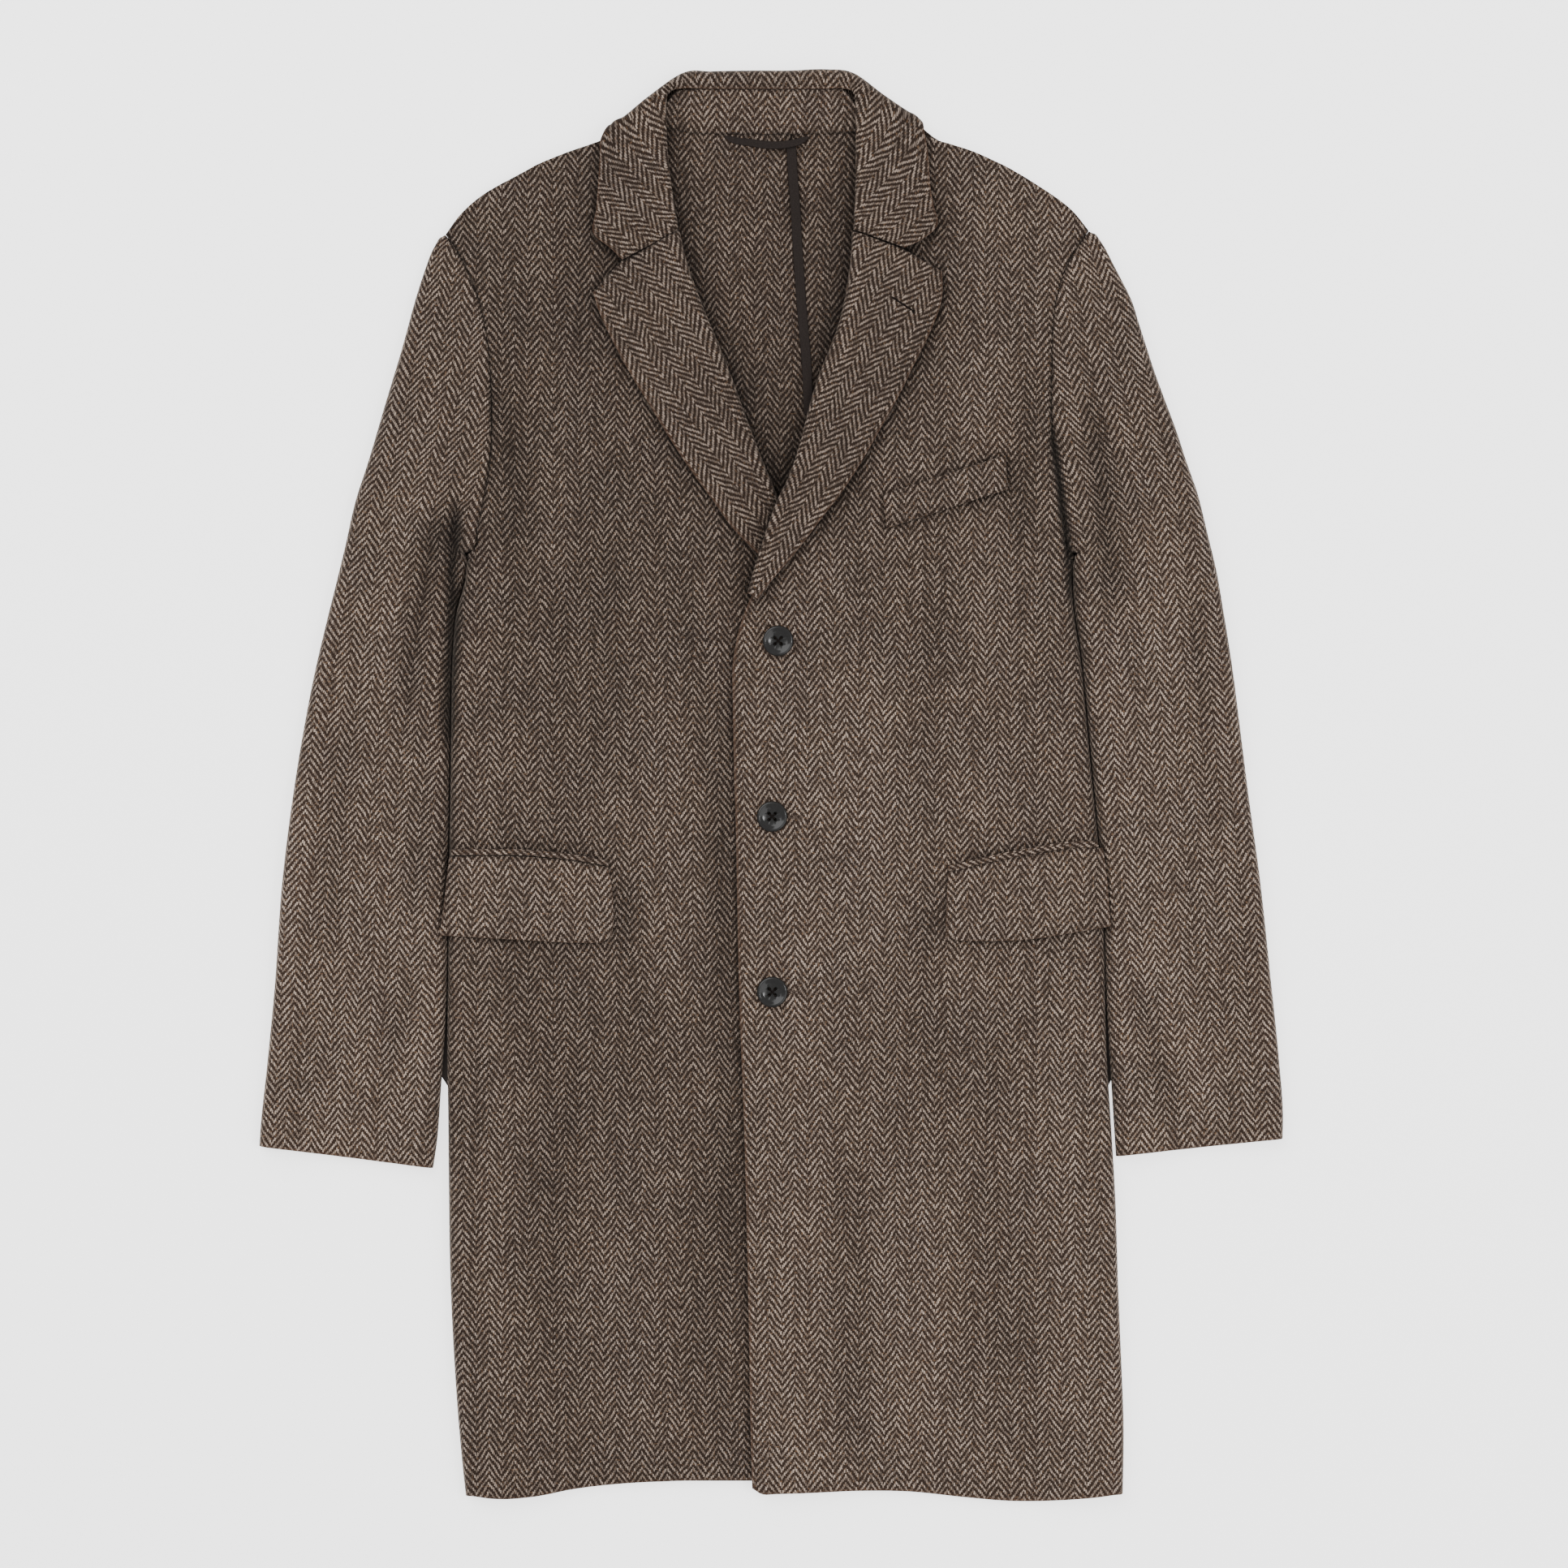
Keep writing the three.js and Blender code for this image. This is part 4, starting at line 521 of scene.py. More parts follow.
def lapel_rows(side, pile, front_pile):
    sign = side["sign"]
    rows = []
    grain = math.atan2(side["roll_line"][-2][3] - side["roll_line"][0][3],
                       side["roll_line"][-2][2] - side["roll_line"][0][2]) + math.pi / 2
    for out, y, edge_out, edge_y, roll, bow in side["roll_line"]:
        length = math.hypot(edge_out - out, edge_y - y)
        to = ((edge_out - out) / length, (edge_y - y) / length)
        centre = LAPEL_CLOTH / 2 + roll

        def plan(a):
            share = held(a / length, 0, 1)
            up = bow * min(share / side["notch_share"], (1 - share) / (1 - side["notch_share"]))
            return out + to[0] * a - to[1] * up, y + to[1] * a + to[0] * up

        def place(a, z, run=None):
            o, py = plan(a)
            so, sy = (o, py) if run is None else plan(run)
            u = so * math.cos(grain) + sy * math.sin(grain)
            v = -so * math.sin(grain) + sy * math.cos(grain)
            return (sign * o, py, z, sign * u, v)

        at = place(centre, 0)
        foot = front_height(side, front_pile, sign * at[0], at[1])
        row = []
        for k in range(5):
            angle = math.pi * k / 4
            row.append(place(centre - roll * math.sin(angle), foot + roll - roll * math.cos(angle),
                             centre - roll * (math.pi - angle)))
        for k in range(1, 8):
            a = mix(centre, length, k / 7)
            x, py = place(a, 0)[:2]
            flat = pile.over(x, py) + REST + LAPEL_CLOTH / 2
            fall = 1 - eased((a - centre) / (8 * roll))
            row.append(place(a, soft_max(flat, mix(foot + roll, foot + 2 * roll, fall)) - 0.5 * fall))
        rows.append(row)
    return np.array(rows, float)


# Sleeves.
def sleeve_inner(side, y):
    low = side["sleeve_in"][-1]
    if y <= low[0]:
        return value_at(side["sleeve_in"], y), y
    return mix(low[1], value_at(side["fold"], y) + SLEEVE_AWAY, held((y - low[0]) / 30, 0, 1)), y


def sleeve_lines(side, front_pile):
    cuff_out, cuff_in = side["sleeve_out"][0][0], side["sleeve_in"][0][0]
    lines = []

    def add(outer_y, inner, **rest):
        outer = (value_at(side["sleeve_out"], outer_y), outer_y)
        length = math.dist(outer, inner)
        to = ((inner[0] - outer[0]) / length, (inner[1] - outer[1]) / length)
        run = length - CLOTH / 2 - (CLOTH / 2 if rest["tube"] else SEAM)

        def place(a, z, cloth=None):
            u = cloth if cloth is not None else a
            x, y = (outer[k] + to[k] * (a + CLOTH / 2) for k in (0, 1))
            return (side["sign"] * x, y, z,
                    side["sign"] * (mix(outer[0], SLEEVE_GRAIN_OUT, SLEEVE_LEAN) - u + SLEEVE_GRAIN_SHIFT),
                    mix(outer[1], inner[1], held(u / run, 0, 1)))

        lines.append(dict(rest, run=run, wrap=min(SLEEVE_WRAP, 0.4 * run), place=place))

    for k, (up_out, up_in, roll_out, roll_in, middle) in enumerate(SLEEVE_ROWS):
        add(cuff_out + up_out, sleeve_inner(side, cuff_in + up_in * (157.5 - cuff_in) / 426),
            wrap_in=SLEEVE_WRAP if k < len(SLEEVE_ROWS) - 1 else SLEEVE_LAST_WRAP,
            roll_out=roll_out, roll_in=roll_in, middle=middle, turn=1, tube=True)
    for outer_y, inner_y, turn in SLEEVE_TURN:
        add(outer_y, sleeve_inner(side, inner_y),
            roll_out=5.7, roll_in=5.2, middle=10.9, turn=turn, tube=True)
    for (out, y), (outer_y, roll_out, middle) in zip(side["armhole"], CAP_ROWS):
        end = body_point(side, front_pile, out - split_at(side, y), y)
        add(outer_y + side["armhole"][11][1] - 388.5, (side["sign"] * end[0], y), end_height=end[2],
            roll_out=roll_out, roll_in=0, middle=middle, turn=0, tube=False)
    return lines


def sleeve_top_height(line, a):
    out_top = CLOTH / 2 + 2 * line["roll_out"]
    in_top = CLOTH / 2 + 2 * line["roll_in"] if line["tube"] else line["end_height"]
    loft = min(SLEEVE_LOFT_RUN, (line["run"] - line["roll_out"] - line["roll_in"]) / 2)
    by_out = 1 - eased((a - line["roll_out"]) / loft)
    by_in = 1 - eased((line["run"] - line["roll_in"] - a) / loft)
    return line["middle"] + (out_top - line["middle"]) * by_out + (in_top - line["middle"]) * by_in


def top_sleeve_rows(lines):
    rows = []
    for line in lines:
        run, wrap, r_out, r_in, place = (line[k] for k in ("run", "wrap", "roll_out", "roll_in", "place"))
        half = math.pi * r_out
        row = [place(wrap, CLOTH / 2, r_out - half - (wrap - r_out)),
               place(mix(wrap, r_out, 0.5), CLOTH / 2, r_out - half - (wrap - r_out) * 0.5)]
        for k in range(5):
            angle = math.pi * k / 4
            row.append(place(r_out - r_out * math.sin(angle), CLOTH / 2 + r_out - r_out * math.cos(angle),
                             r_out - half + r_out * angle))
        last = run - r_in if line["tube"] else run - min(12, 0.3 * (run - r_out))
        row += [place(mix(r_out, last, s), sleeve_top_height(line, mix(r_out, last, s)))
                for s in [*SLEEVE_TOP_SHARES, 1]]
        if not line["tube"]:
            row += [place(mix(last, run, k / 6), sleeve_top_height(line, mix(last, run, k / 6)))
                    for k in range(1, 7)]
            rows.append(row)
            continue
        for k in range(1, 5):
            angle = math.pi * line["turn"] * k / 4
            row.append(place(run - r_in + r_in * math.sin(angle), CLOTH / 2 + r_in + r_in * math.cos(angle),
                             run - r_in + r_in * angle))
        flat = run - r_in + math.pi * r_in
        if line["turn"] == 1:
            under = line["wrap_in"]
            row += [place(run - mix(r_in, under, 0.5), CLOTH / 2, flat + (under - r_in) * 0.5),
                    place(run - under, CLOTH / 2, flat + under - r_in)]
        else:
            end, before = np.array(row.pop()), np.array(row[-1])
            row += [tuple(mix(before, end, t)) for t in (0.33, 0.67, 1)]
        rows.append(row)
    return np.array(rows, float)


def under_sleeve_rows(lines):
    rows = []
    for line in lines:
        wrapped = line["wrap_in"] if line["turn"] == 1 else line["roll_in"]
        end = line["run"] - wrapped - SEAM if line["tube"] else line["run"]
        rows.append([line["place"](mix(line["wrap"] + SEAM, end, s), CLOTH / 2)
                     for s in (0, 0.25, 0.5, 0.75, 1)])
    return np.array(rows, float)


# Collar.
def collar_rows(pile):
    rows = []
    cut_at, previous = np.array([20.0, 0.0]), None
    for at, fold, edge, wrap in COLLAR_ROWS:
        target = fold or edge
        round_neck = abs(at[0]) + NECK_ROLL_Y - at[1]
        turn = COLLAR_TURN * math.copysign(eased((round_neck - COLLAR_STRAIGHT) / COLLAR_TURN_RUN), at[0])
        to_cut = np.array([[math.cos(turn), -math.sin(turn)], [math.sin(turn), math.cos(turn)]])
        if previous:
            cut_at = cut_at + to_cut @ np.subtract(at, previous)
        previous = at
        length = math.dist(at, target)
        to = ((target[0] - at[0]) / length, (target[1] - at[1]) / length)
        half = COLLAR_CLOTH / 2
        back = wrap and abs(at[0]) < 67 and at[1] >= NECK_ROLL_Y
        fold_roll = (COLLAR_TOP - half) / 2
        reach = length - half

        def place(a, z):
            return (at[0] + to[0] * a, at[1] + to[1] * a, z)

        row = []
        if back:
            for k in range(5):
                row.append(place((reach - fold_roll) * k / 5,
                                 mix(STAND_TOP_Z, COLLAR_TOP, eased(0.25 + 0.15 * k))))
            start = (reach - fold_roll) * 0.8
        else:
            low = pile.over(*place(8, 0)[:2]) * 0.5 + 1.3 + REST + half
            roll = max(1.9, (COLLAR_TOP - low) / 2)
            start = half + roll
            for k in range(5):
                angle = math.pi * k / 4
                row.append(place(start - roll * math.sin(angle), COLLAR_TOP - roll - roll * math.cos(angle)))
        last = reach - fold_roll if fold else length - 10
        for k in range(1, 5):
            a = mix(start, last, k / 4)
            flat = 0 if back else pile.over(*place(a, 0)[:2]) + REST + half
            row.append(place(a, soft_max(flat, COLLAR_TOP) - 0.3))
        if not fold:
            for k in range(1, 8):
                a = mix(last, length, k / 7)
                row.append(place(a, soft_max(pile.over(*place(a, 0)[:2]) + REST + half, COLLAR_TOP) - 0.3))
        else:
            roll = (row[-1][2] - half) / 2
            for k in range(1, 5):
                angle = (math.pi if wrap else math.pi / 2) * k / 4
                row.append(place(last + roll * math.sin(angle), half + roll + roll * math.cos(angle)))
            if wrap:
                x, y, _ = row[-1]
                row += [(mix(x, edge[0], k / 3), mix(y, edge[1], k / 3), half) for k in (1, 2, 3)]
            else:
                end = np.array(row.pop())
                before = np.array(row[-1])
                row += [tuple(mix(before, end, k / 4)) for k in range(1, 5)]
        points = np.array(row)
        across = np.concatenate([[0], np.cumsum(np.linalg.norm(np.diff(points, axis=0), axis=1))])
        way = to_cut @ np.array(to)
        rows.append([(*p, *(cut_at + way * s)) for p, s in zip(row, across)])
    return np.array(rows, float)


def stand_rows():
    rows = []
    for k in range(17):
        x = mix(*STAND_ENDS, k / 16)
        foot_y = value_at(BACK_NECK, abs(x)) + STAND_FOOT_GAP
        top_y = value_at(STAND_EDGE, x)
        foot_z = back_height(x, foot_y) + STAND_FOOT_OVER
        rows.append([(x, mix(foot_y, top_y, t), mix(foot_z, STAND_TOP_Z, t ** 0.8), x, mix(foot_y, top_y, t))
                     for t in (0, 0.3, 0.65, 1)])
    return np.array(rows, float)


# Pieces that lie on a panel.
def laid(pile, rows, thickness, rest, turn=0.0):
    c, s = math.cos(turn), math.sin(turn)
    return np.array([[(x, y, pile.over(x, y) + rest + thickness / 2, x * c + y * s, -x * s + y * c)
                      for x, y in row] for row in rows], float)


def ribbon_rows(path, widths):
    """Rows of three points over a ribbon along a smooth path."""
    points = np.array(path, float)[:, None, :]
    points = np.concatenate([points, points * 0], axis=2)
    fine = resampled(points, np.linspace(0, len(path) - 1, 2 * len(path) + 1))[:, 0, :2]
    step = np.gradient(fine, axis=0)
    step /= np.linalg.norm(step, axis=1, keepdims=True)
    side = np.stack([-step[:, 1], step[:, 0]], axis=1)
    shares = np.linspace(0, 1, len(fine))
    return [[tuple(p + s * value_at(widths, share) * t) for t in (-0.5, 0, 0.5)]
            for p, s, share in zip(fine, side, shares)]


# Creases.
def near_line(x, y, points):
    """Distance from a polyline and share along it."""
    best = np.full(x.shape, 1e9)
    share = np.zeros(x.shape)
    lengths = [math.dist(a, b) for a, b in zip(points, points[1:])]
    total, done = sum(lengths), 0.0
    for (ax, ay), (bx, by), length in zip(points, points[1:], lengths):
        t = np.clip(((x - ax) * (bx - ax) + (y - ay) * (by - ay)) / length ** 2, 0, 1)
        away = np.hypot(x - ax - t * (bx - ax), y - ay - t * (by - ay))
        near = away < best
        best = np.where(near, away, best)
        share = np.where(near, (done + t * length) / total, share)
        done += length
    return best, share


def relief(x, y):
    """Share by which heights grow or shrink at a place, so that layers keep their order."""
    lift = 0.05 * np.sin(x / 41 + 1.3 * np.sin(y / 97)) * np.sin(y / 83 + 0.8)
    lift += 0.03 * np.sin(x / 19 - y / 57 + 2 * np.sin(y / 71))
    for weight, width, points in CREASES:
        away, share = near_line(x, y, points)
        ends = np.clip(np.minimum(share, 1 - share) * 5, 0, 1)
        lift += weight * np.exp(-(away / width) ** 2) * ends * ends * (3 - 2 * ends)
    return lift


def creased(points):
    """Middle points with heights scaled by the relief, and all moved to the frame's own middle."""
    moved = points.copy()
    moved[..., 2] *= 1 + relief(points[..., 0], points[..., 1])
    moved[..., 0] -= MIDDLE[0]
    moved[..., 1] -= MIDDLE[1]
    return moved


# Shade and seams.
class Hollows:
    """Height map of all upper faces, and how far a place lies in the lee of what stands round it."""

    def __init__(self, layers):
        self.cell, self.low = 2.0, (-420.0, -560.0)
        self.top = np.zeros((570, 420))
        for middle, normal, thickness in layers:
            fine = filled(middle + normal * thickness / 2, 1.5)
            j, i = self.cells(fine[..., 0], fine[..., 1])
            np.maximum.at(self.top, (j.ravel(), i.ravel()), fine[..., 2].ravel())

    def cells(self, x, y):
        i = np.clip((x - self.low[0]) // self.cell, 0, self.top.shape[1] - 1).astype(int)
        j = np.clip((y - self.low[1]) // self.cell, 0, self.top.shape[0] - 1).astype(int)
        return j, i

    def at(self, points):
        hidden = np.zeros(points.shape[:2])
        for k in range(16):
            angle = k * math.tau / 16
            steepest = np.zeros(points.shape[:2])
            for away in (3, 5, 8, 12, 18, 27):
                j, i = self.cells(points[..., 0] + away * math.cos(angle),
                                  points[..., 1] + away * math.sin(angle))
                steepest = np.maximum(steepest, (self.top[j, i] - points[..., 2] - 0.6) / away)
            hidden += steepest / np.hypot(1, steepest) / 16
        return hidden


def border_distance(middle):
    """Distance of each point from the first row, last row, first column and last column."""
    found = {}
    for name, grid in (("row", middle), ("column", np.swapaxes(middle, 0, 1))):
        steps = np.linalg.norm(np.diff(grid, axis=0), axis=2)
        first = np.concatenate([np.zeros((1, steps.shape[1])), np.cumsum(steps, axis=0)])
        last = first[-1] - first
        found["first " + name], found["last " + name] = (
            (first, last) if name == "row" else (first.T, last.T))
    return found


def planned(grid, thickness, spacing, sewn, lightness):
    """Creased middle surface with cloth coordinates, its normals, seam dips, and how near its borders are,
    which sets the painted shade along seams and the brown fuzz at cut edges.
    """
    fine = finer(grid, spacing, (0.7, 1.6, 3.0))
    away = border_distance(fine[..., :3])
    seam, cut, dip = (np.zeros(fine.shape[:2]) for _ in range(3))
    for side, distance in away.items():
        depth, border_shade, ragged = sewn.get(side, CUT_EDGE)
        dip = np.maximum(dip, depth * np.exp(-(distance / DIP_WIDTH) ** 2))
        # painted shade along sewn borders, taken off the tone in make_wall
        seam = np.maximum(seam, border_shade * np.exp(-(distance / 1.6) ** 2))
        cut = np.maximum(cut, ragged * np.exp(-(distance / 1.1) ** 2))
    middle = creased(fine[..., :3])
    middle[..., 2] -= np.minimum(dip, np.maximum(0, middle[..., 2] - thickness / 2))
    normal = normals_of(middle)
    if normal[..., 2].mean() < 0:
        normal = -normal
    return dict(middle=middle, normal=normal, cloth=fine[..., 3:5], thickness=thickness, seam=seam, cut=cut,
                relief=relief(fine[..., 0], fine[..., 1]),
                lightness=lightness * np.interp(fine[..., 1], *zip(*LIGHTNESS_UP)))


# Meshes.
def add_piece(name, mesh):
    piece = bpy.data.objects.new(name, mesh)
    bpy.context.scene.collection.objects.link(piece)
    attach(piece, "root")
    return piece


def make_wall(name, plan, material):
    """Closed wall round a planned surface, with rounded rims, cloth coordinates and its shade."""
    middle, normal, cloth, thickness = (plan[k] for k in ("middle", "normal", "cloth", "thickness"))
    # painted light and shade: the tone is raised on ridges and lowered in troughs, in the lee of higher
    # layers on upward faces, and along seams
    facing = np.clip(normal[..., 2] * 1.6, 0, 1)
    hidden = HOLLOWS.at(middle + normal * thickness / 2) * facing * plan.get("shelter", 1)
    tone = (plan["lightness"] * np.clip(1 + RELIEF_TONE * plan["relief"] - HOLLOW_TONE * hidden
                                        - plan["seam"], *TONE_RANGE)).ravel()
    rows, cols = middle.shape[:2]
    index = np.arange(rows * cols).reshape(rows, cols)
    top = (middle + normal * thickness / 2).reshape(-1, 3)
    low = (middle - normal * thickness / 2).reshape(-1, 3)
    ring = np.concatenate([index[0, :-1], index[:-1, -1], index[-1, :0:-1], index[:0:-1, 0]])
    ahead, behind = np.roll(ring, -1), np.roll(ring, 1)
    flat = middle.reshape(-1, 3)
    flat_normal = normal.reshape(-1, 3)
    out = np.cross(flat[ahead] - flat[behind], flat_normal[ring])
    out /= np.maximum(np.linalg.norm(out, axis=1, keepdims=True), 1e-9)
    bulge = thickness * 0.22
    count = rows * cols
    levels = [(0.33, 0.75), (0.0, 1.0), (-0.33, 0.75)]
    rims = [flat[ring] + flat_normal[ring] * thickness * level + out * bulge * push for level, push in levels]
    points = np.concatenate([top, low, *rims]) / 1000
    a, b, c, d = (part.ravel() for part in (index[:-1, :-1], index[:-1, 1:], index[1:, 1:], index[1:, :-1]))
    faces = [np.stack([a, b, c, d], 1), np.stack([a + count, d + count, c + count, b + count], 1)]
    size = len(ring)
    bands = [ring, *(2 * count + k * size + np.arange(size) for k in range(3)), ring + count]
    for upper, lower in zip(bands, bands[1:]):
        faces.append(np.stack([np.roll(upper, -1), upper, lower, np.roll(lower, -1)], 1))
    faces = np.concatenate(faces)
    mesh = bpy.data.meshes.new(name)
    mesh.from_pydata(points.tolist(), [], faces.tolist())
    uv_flat = cloth.reshape(-1, 2)
    uv_points = np.concatenate([uv_flat, uv_flat, *([uv_flat[ring]] * 3)]) / CLOTH_UNIT
    layer = mesh.uv_layers.new(name="cloth")
    layer.data.foreach_set("uv", uv_points[faces.ravel()].ravel())
    for label, upper in (("tone", tone), ("rim", plan["cut"].ravel() * 0.75)):
        values = np.concatenate([upper, np.ones(count) if label == "tone" else upper, *([upper[ring]] * 3)])
        mesh.attributes.new(label, "FLOAT", "POINT").data.foreach_set("value", values)
    mesh.materials.append(material)
    mesh.polygons.foreach_set("use_smooth", [True] * len(faces))
    mesh.update()
    if signed_volume(points, faces) < 0:
        mesh.flip_normals()
    return add_piece(name, mesh)


def signed_volume(points, faces):
    a, b, c, d = (points[faces[:, k]] for k in range(4))
    return float((np.einsum("ij,ij->i", a, np.cross(b, c)) + np.einsum("ij,ij->i", a, np.cross(c, d))).sum())


def surface_area(grid):
    a, b, c, d = grid[:-1, :-1], grid[:-1, 1:], grid[1:, 1:], grid[1:, :-1]
    return float((np.linalg.norm(np.cross(b - a, c - a), axis=2)
                  + np.linalg.norm(np.cross(c - a, d - a), axis=2)).sum() / 2)


def declare(plan, held_as, rests_on):
    """Work out a piece's flat cut, its area in the smallest box of its cloth coordinates that holds it; the
    sizes are not kept or used.
    """
    area = surface_area(plan["middle"])
    u, v = (np.ptp(plan["cloth"][..., k]) for k in (0, 1))
    width, length = max(u, 10.5) / 1000, max(v, 10.5) / 1000
    grow = max(1.0, math.sqrt(area / 1e6 / (width * length)))
    width, length = width * grow, length * grow
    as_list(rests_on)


# Material groups.
def nodes_of(tree):
    """Short makers of nodes and links in a node tree."""

    def put(kind, **values):
        node = tree.nodes.new(kind)
        sockets = values.pop("sockets", {})
        for key, value in values.items():
            setattr(node, key, value)
        for key, value in sockets.items():
            if hasattr(value, "links"):
                tree.links.new(value, node.inputs[key])
            else:
                node.inputs[key].default_value = value
        return node

    def math_node(operation, a, b=0.0, c=0.0, clamp=False):
        node = put("ShaderNodeMath", operation=operation, use_clamp=clamp, sockets={0: a, 1: b, 2: c})
        return node.outputs[0]

    return put, math_node


def group_tree(name, inputs, outputs):
    tree = bpy.data.node_groups.new(name, "ShaderNodeTree")
    for label, kind in inputs:
        tree.interface.new_socket(label, in_out="INPUT", socket_type=kind)
    for label, kind in outputs:
        tree.interface.new_socket(label, in_out="OUTPUT", socket_type=kind)
    return tree, tree.nodes.new("NodeGroupInput"), tree.nodes.new("NodeGroupOutput")


def herringbone_group():
    """A 2/2 herringbone in cloth coordinates: light warp floats on dark weft, fuzzed by loose fibres."""
    tree, source, sink = group_tree(
        "herringbone", [("Cloth", "NodeSocketVector")],
        [("Light", "NodeSocketFloat"), ("Height", "NodeSocketFloat"), ("Yarn", "NodeSocketFloat"),
         ("Fuzz", "NodeSocketFloat")])
    put, calc = nodes_of(tree)

    def noise(scale, detail, rough):
        return put("ShaderNodeTexNoise", noise_dimensions="2D",
                   sockets={"Vector": scaled.outputs[0], "Scale": scale, "Detail": detail,
                            "Roughness": rough})

    def bump_of(share, width):
        off = calc("MULTIPLY_ADD", share, 2.0, -1.0)
        return calc("SUBTRACT", 1.0, calc("MULTIPLY", calc("MULTIPLY", off, off), width))

    scaled = put("ShaderNodeVectorMath", operation="SCALE", sockets={0: source.outputs[0], 3: CLOTH_UNIT})
    wander, ragged, fibres = noise(0.09, 2.0, 0.5), noise(0.95, 2.0, 0.6), noise(2.3, 3.0, 0.7)
    shift = put("ShaderNodeVectorMath", operation="MULTIPLY_ADD",
                sockets={0: wander.outputs["Color"], 1: (2.4, 2.4, 0.0), 2: scaled.outputs[0]})
    moved = put("ShaderNodeVectorMath", operation="MULTIPLY_ADD",
                sockets={0: ragged.outputs["Color"], 1: (0.95, 1.5, 0.0), 2: shift.outputs[0]})
    parts = put("ShaderNodeSeparateXYZ", sockets={0: moved.outputs[0]})
    u, v = calc("DIVIDE", parts.outputs[0], YARN), calc("DIVIDE", parts.outputs[1], TWILL_RISE)
    number, across = calc("FLOOR", u), calc("FRACT", u)
    middle = calc("ADD", number, 0.5)
    zigzag = calc("PINGPONG", middle, COLUMN_YARNS)
    turned = calc("GREATER_THAN", calc("FRACT", calc("DIVIDE", middle, 2 * COLUMN_YARNS)), 0.5)
    phase = calc("ADD", calc("MULTIPLY_ADD", zigzag, 0.25, v), calc("MULTIPLY", turned, 0.3))
    step, along = calc("FLOOR", phase), calc("FRACT", phase)
    float_shape = calc("MULTIPLY", bump_of(across, 0.85),
                       bump_of(calc("MULTIPLY", along, 2.0, clamp=True), 1.0), clamp=True)
    cell = put("ShaderNodeCombineXYZ", sockets={0: number, 1: step, 2: 0.0})
    chance = put("ShaderNodeTexWhiteNoise", noise_dimensions="2D", sockets={"Vector": cell.outputs[0]})
    yarn = put("ShaderNodeTexWhiteNoise", noise_dimensions="1D", sockets={"W": number})
    warp = put("ShaderNodeMapRange", interpolation_type="SMOOTHSTEP",
               sockets={0: float_shape, 1: 0.03, 2: 0.5, 3: 0.0, 4: 1.0}).outputs[0]
    strength = calc("ADD", calc("MULTIPLY_ADD", calc("POWER", chance.outputs[0], 2.2), 0.96, 0.36),
                    calc("MULTIPLY_ADD", yarn.outputs[0], 0.24, -0.12))
    loose = calc("MULTIPLY_ADD", fibres.outputs[0], 1.3, -0.65)
    light = calc("ADD", calc("MULTIPLY", warp, strength), calc("MULTIPLY", loose, 0.46), clamp=True)
    picks = calc("SINE", calc("MULTIPLY", parts.outputs[1], 4.74))
    weft = calc("MULTIPLY", calc("SUBTRACT", 1.0, warp), calc("MULTIPLY_ADD", picks, 0.16, 0.2))
    height = calc("ADD", calc("ADD", calc("MULTIPLY", warp, 0.8), weft),
                  calc("MULTIPLY", fibres.outputs[0], 0.5))
    for k, value in enumerate((light, height, chance.outputs[0], fibres.outputs[0])):
        tree.links.new(value, sink.inputs[k])
    return tree


def principled(name):
    material = bpy.data.materials.new(name)
    material.use_nodes = True
    tree = material.node_tree
    return material, tree, tree.nodes["Principled BSDF"]


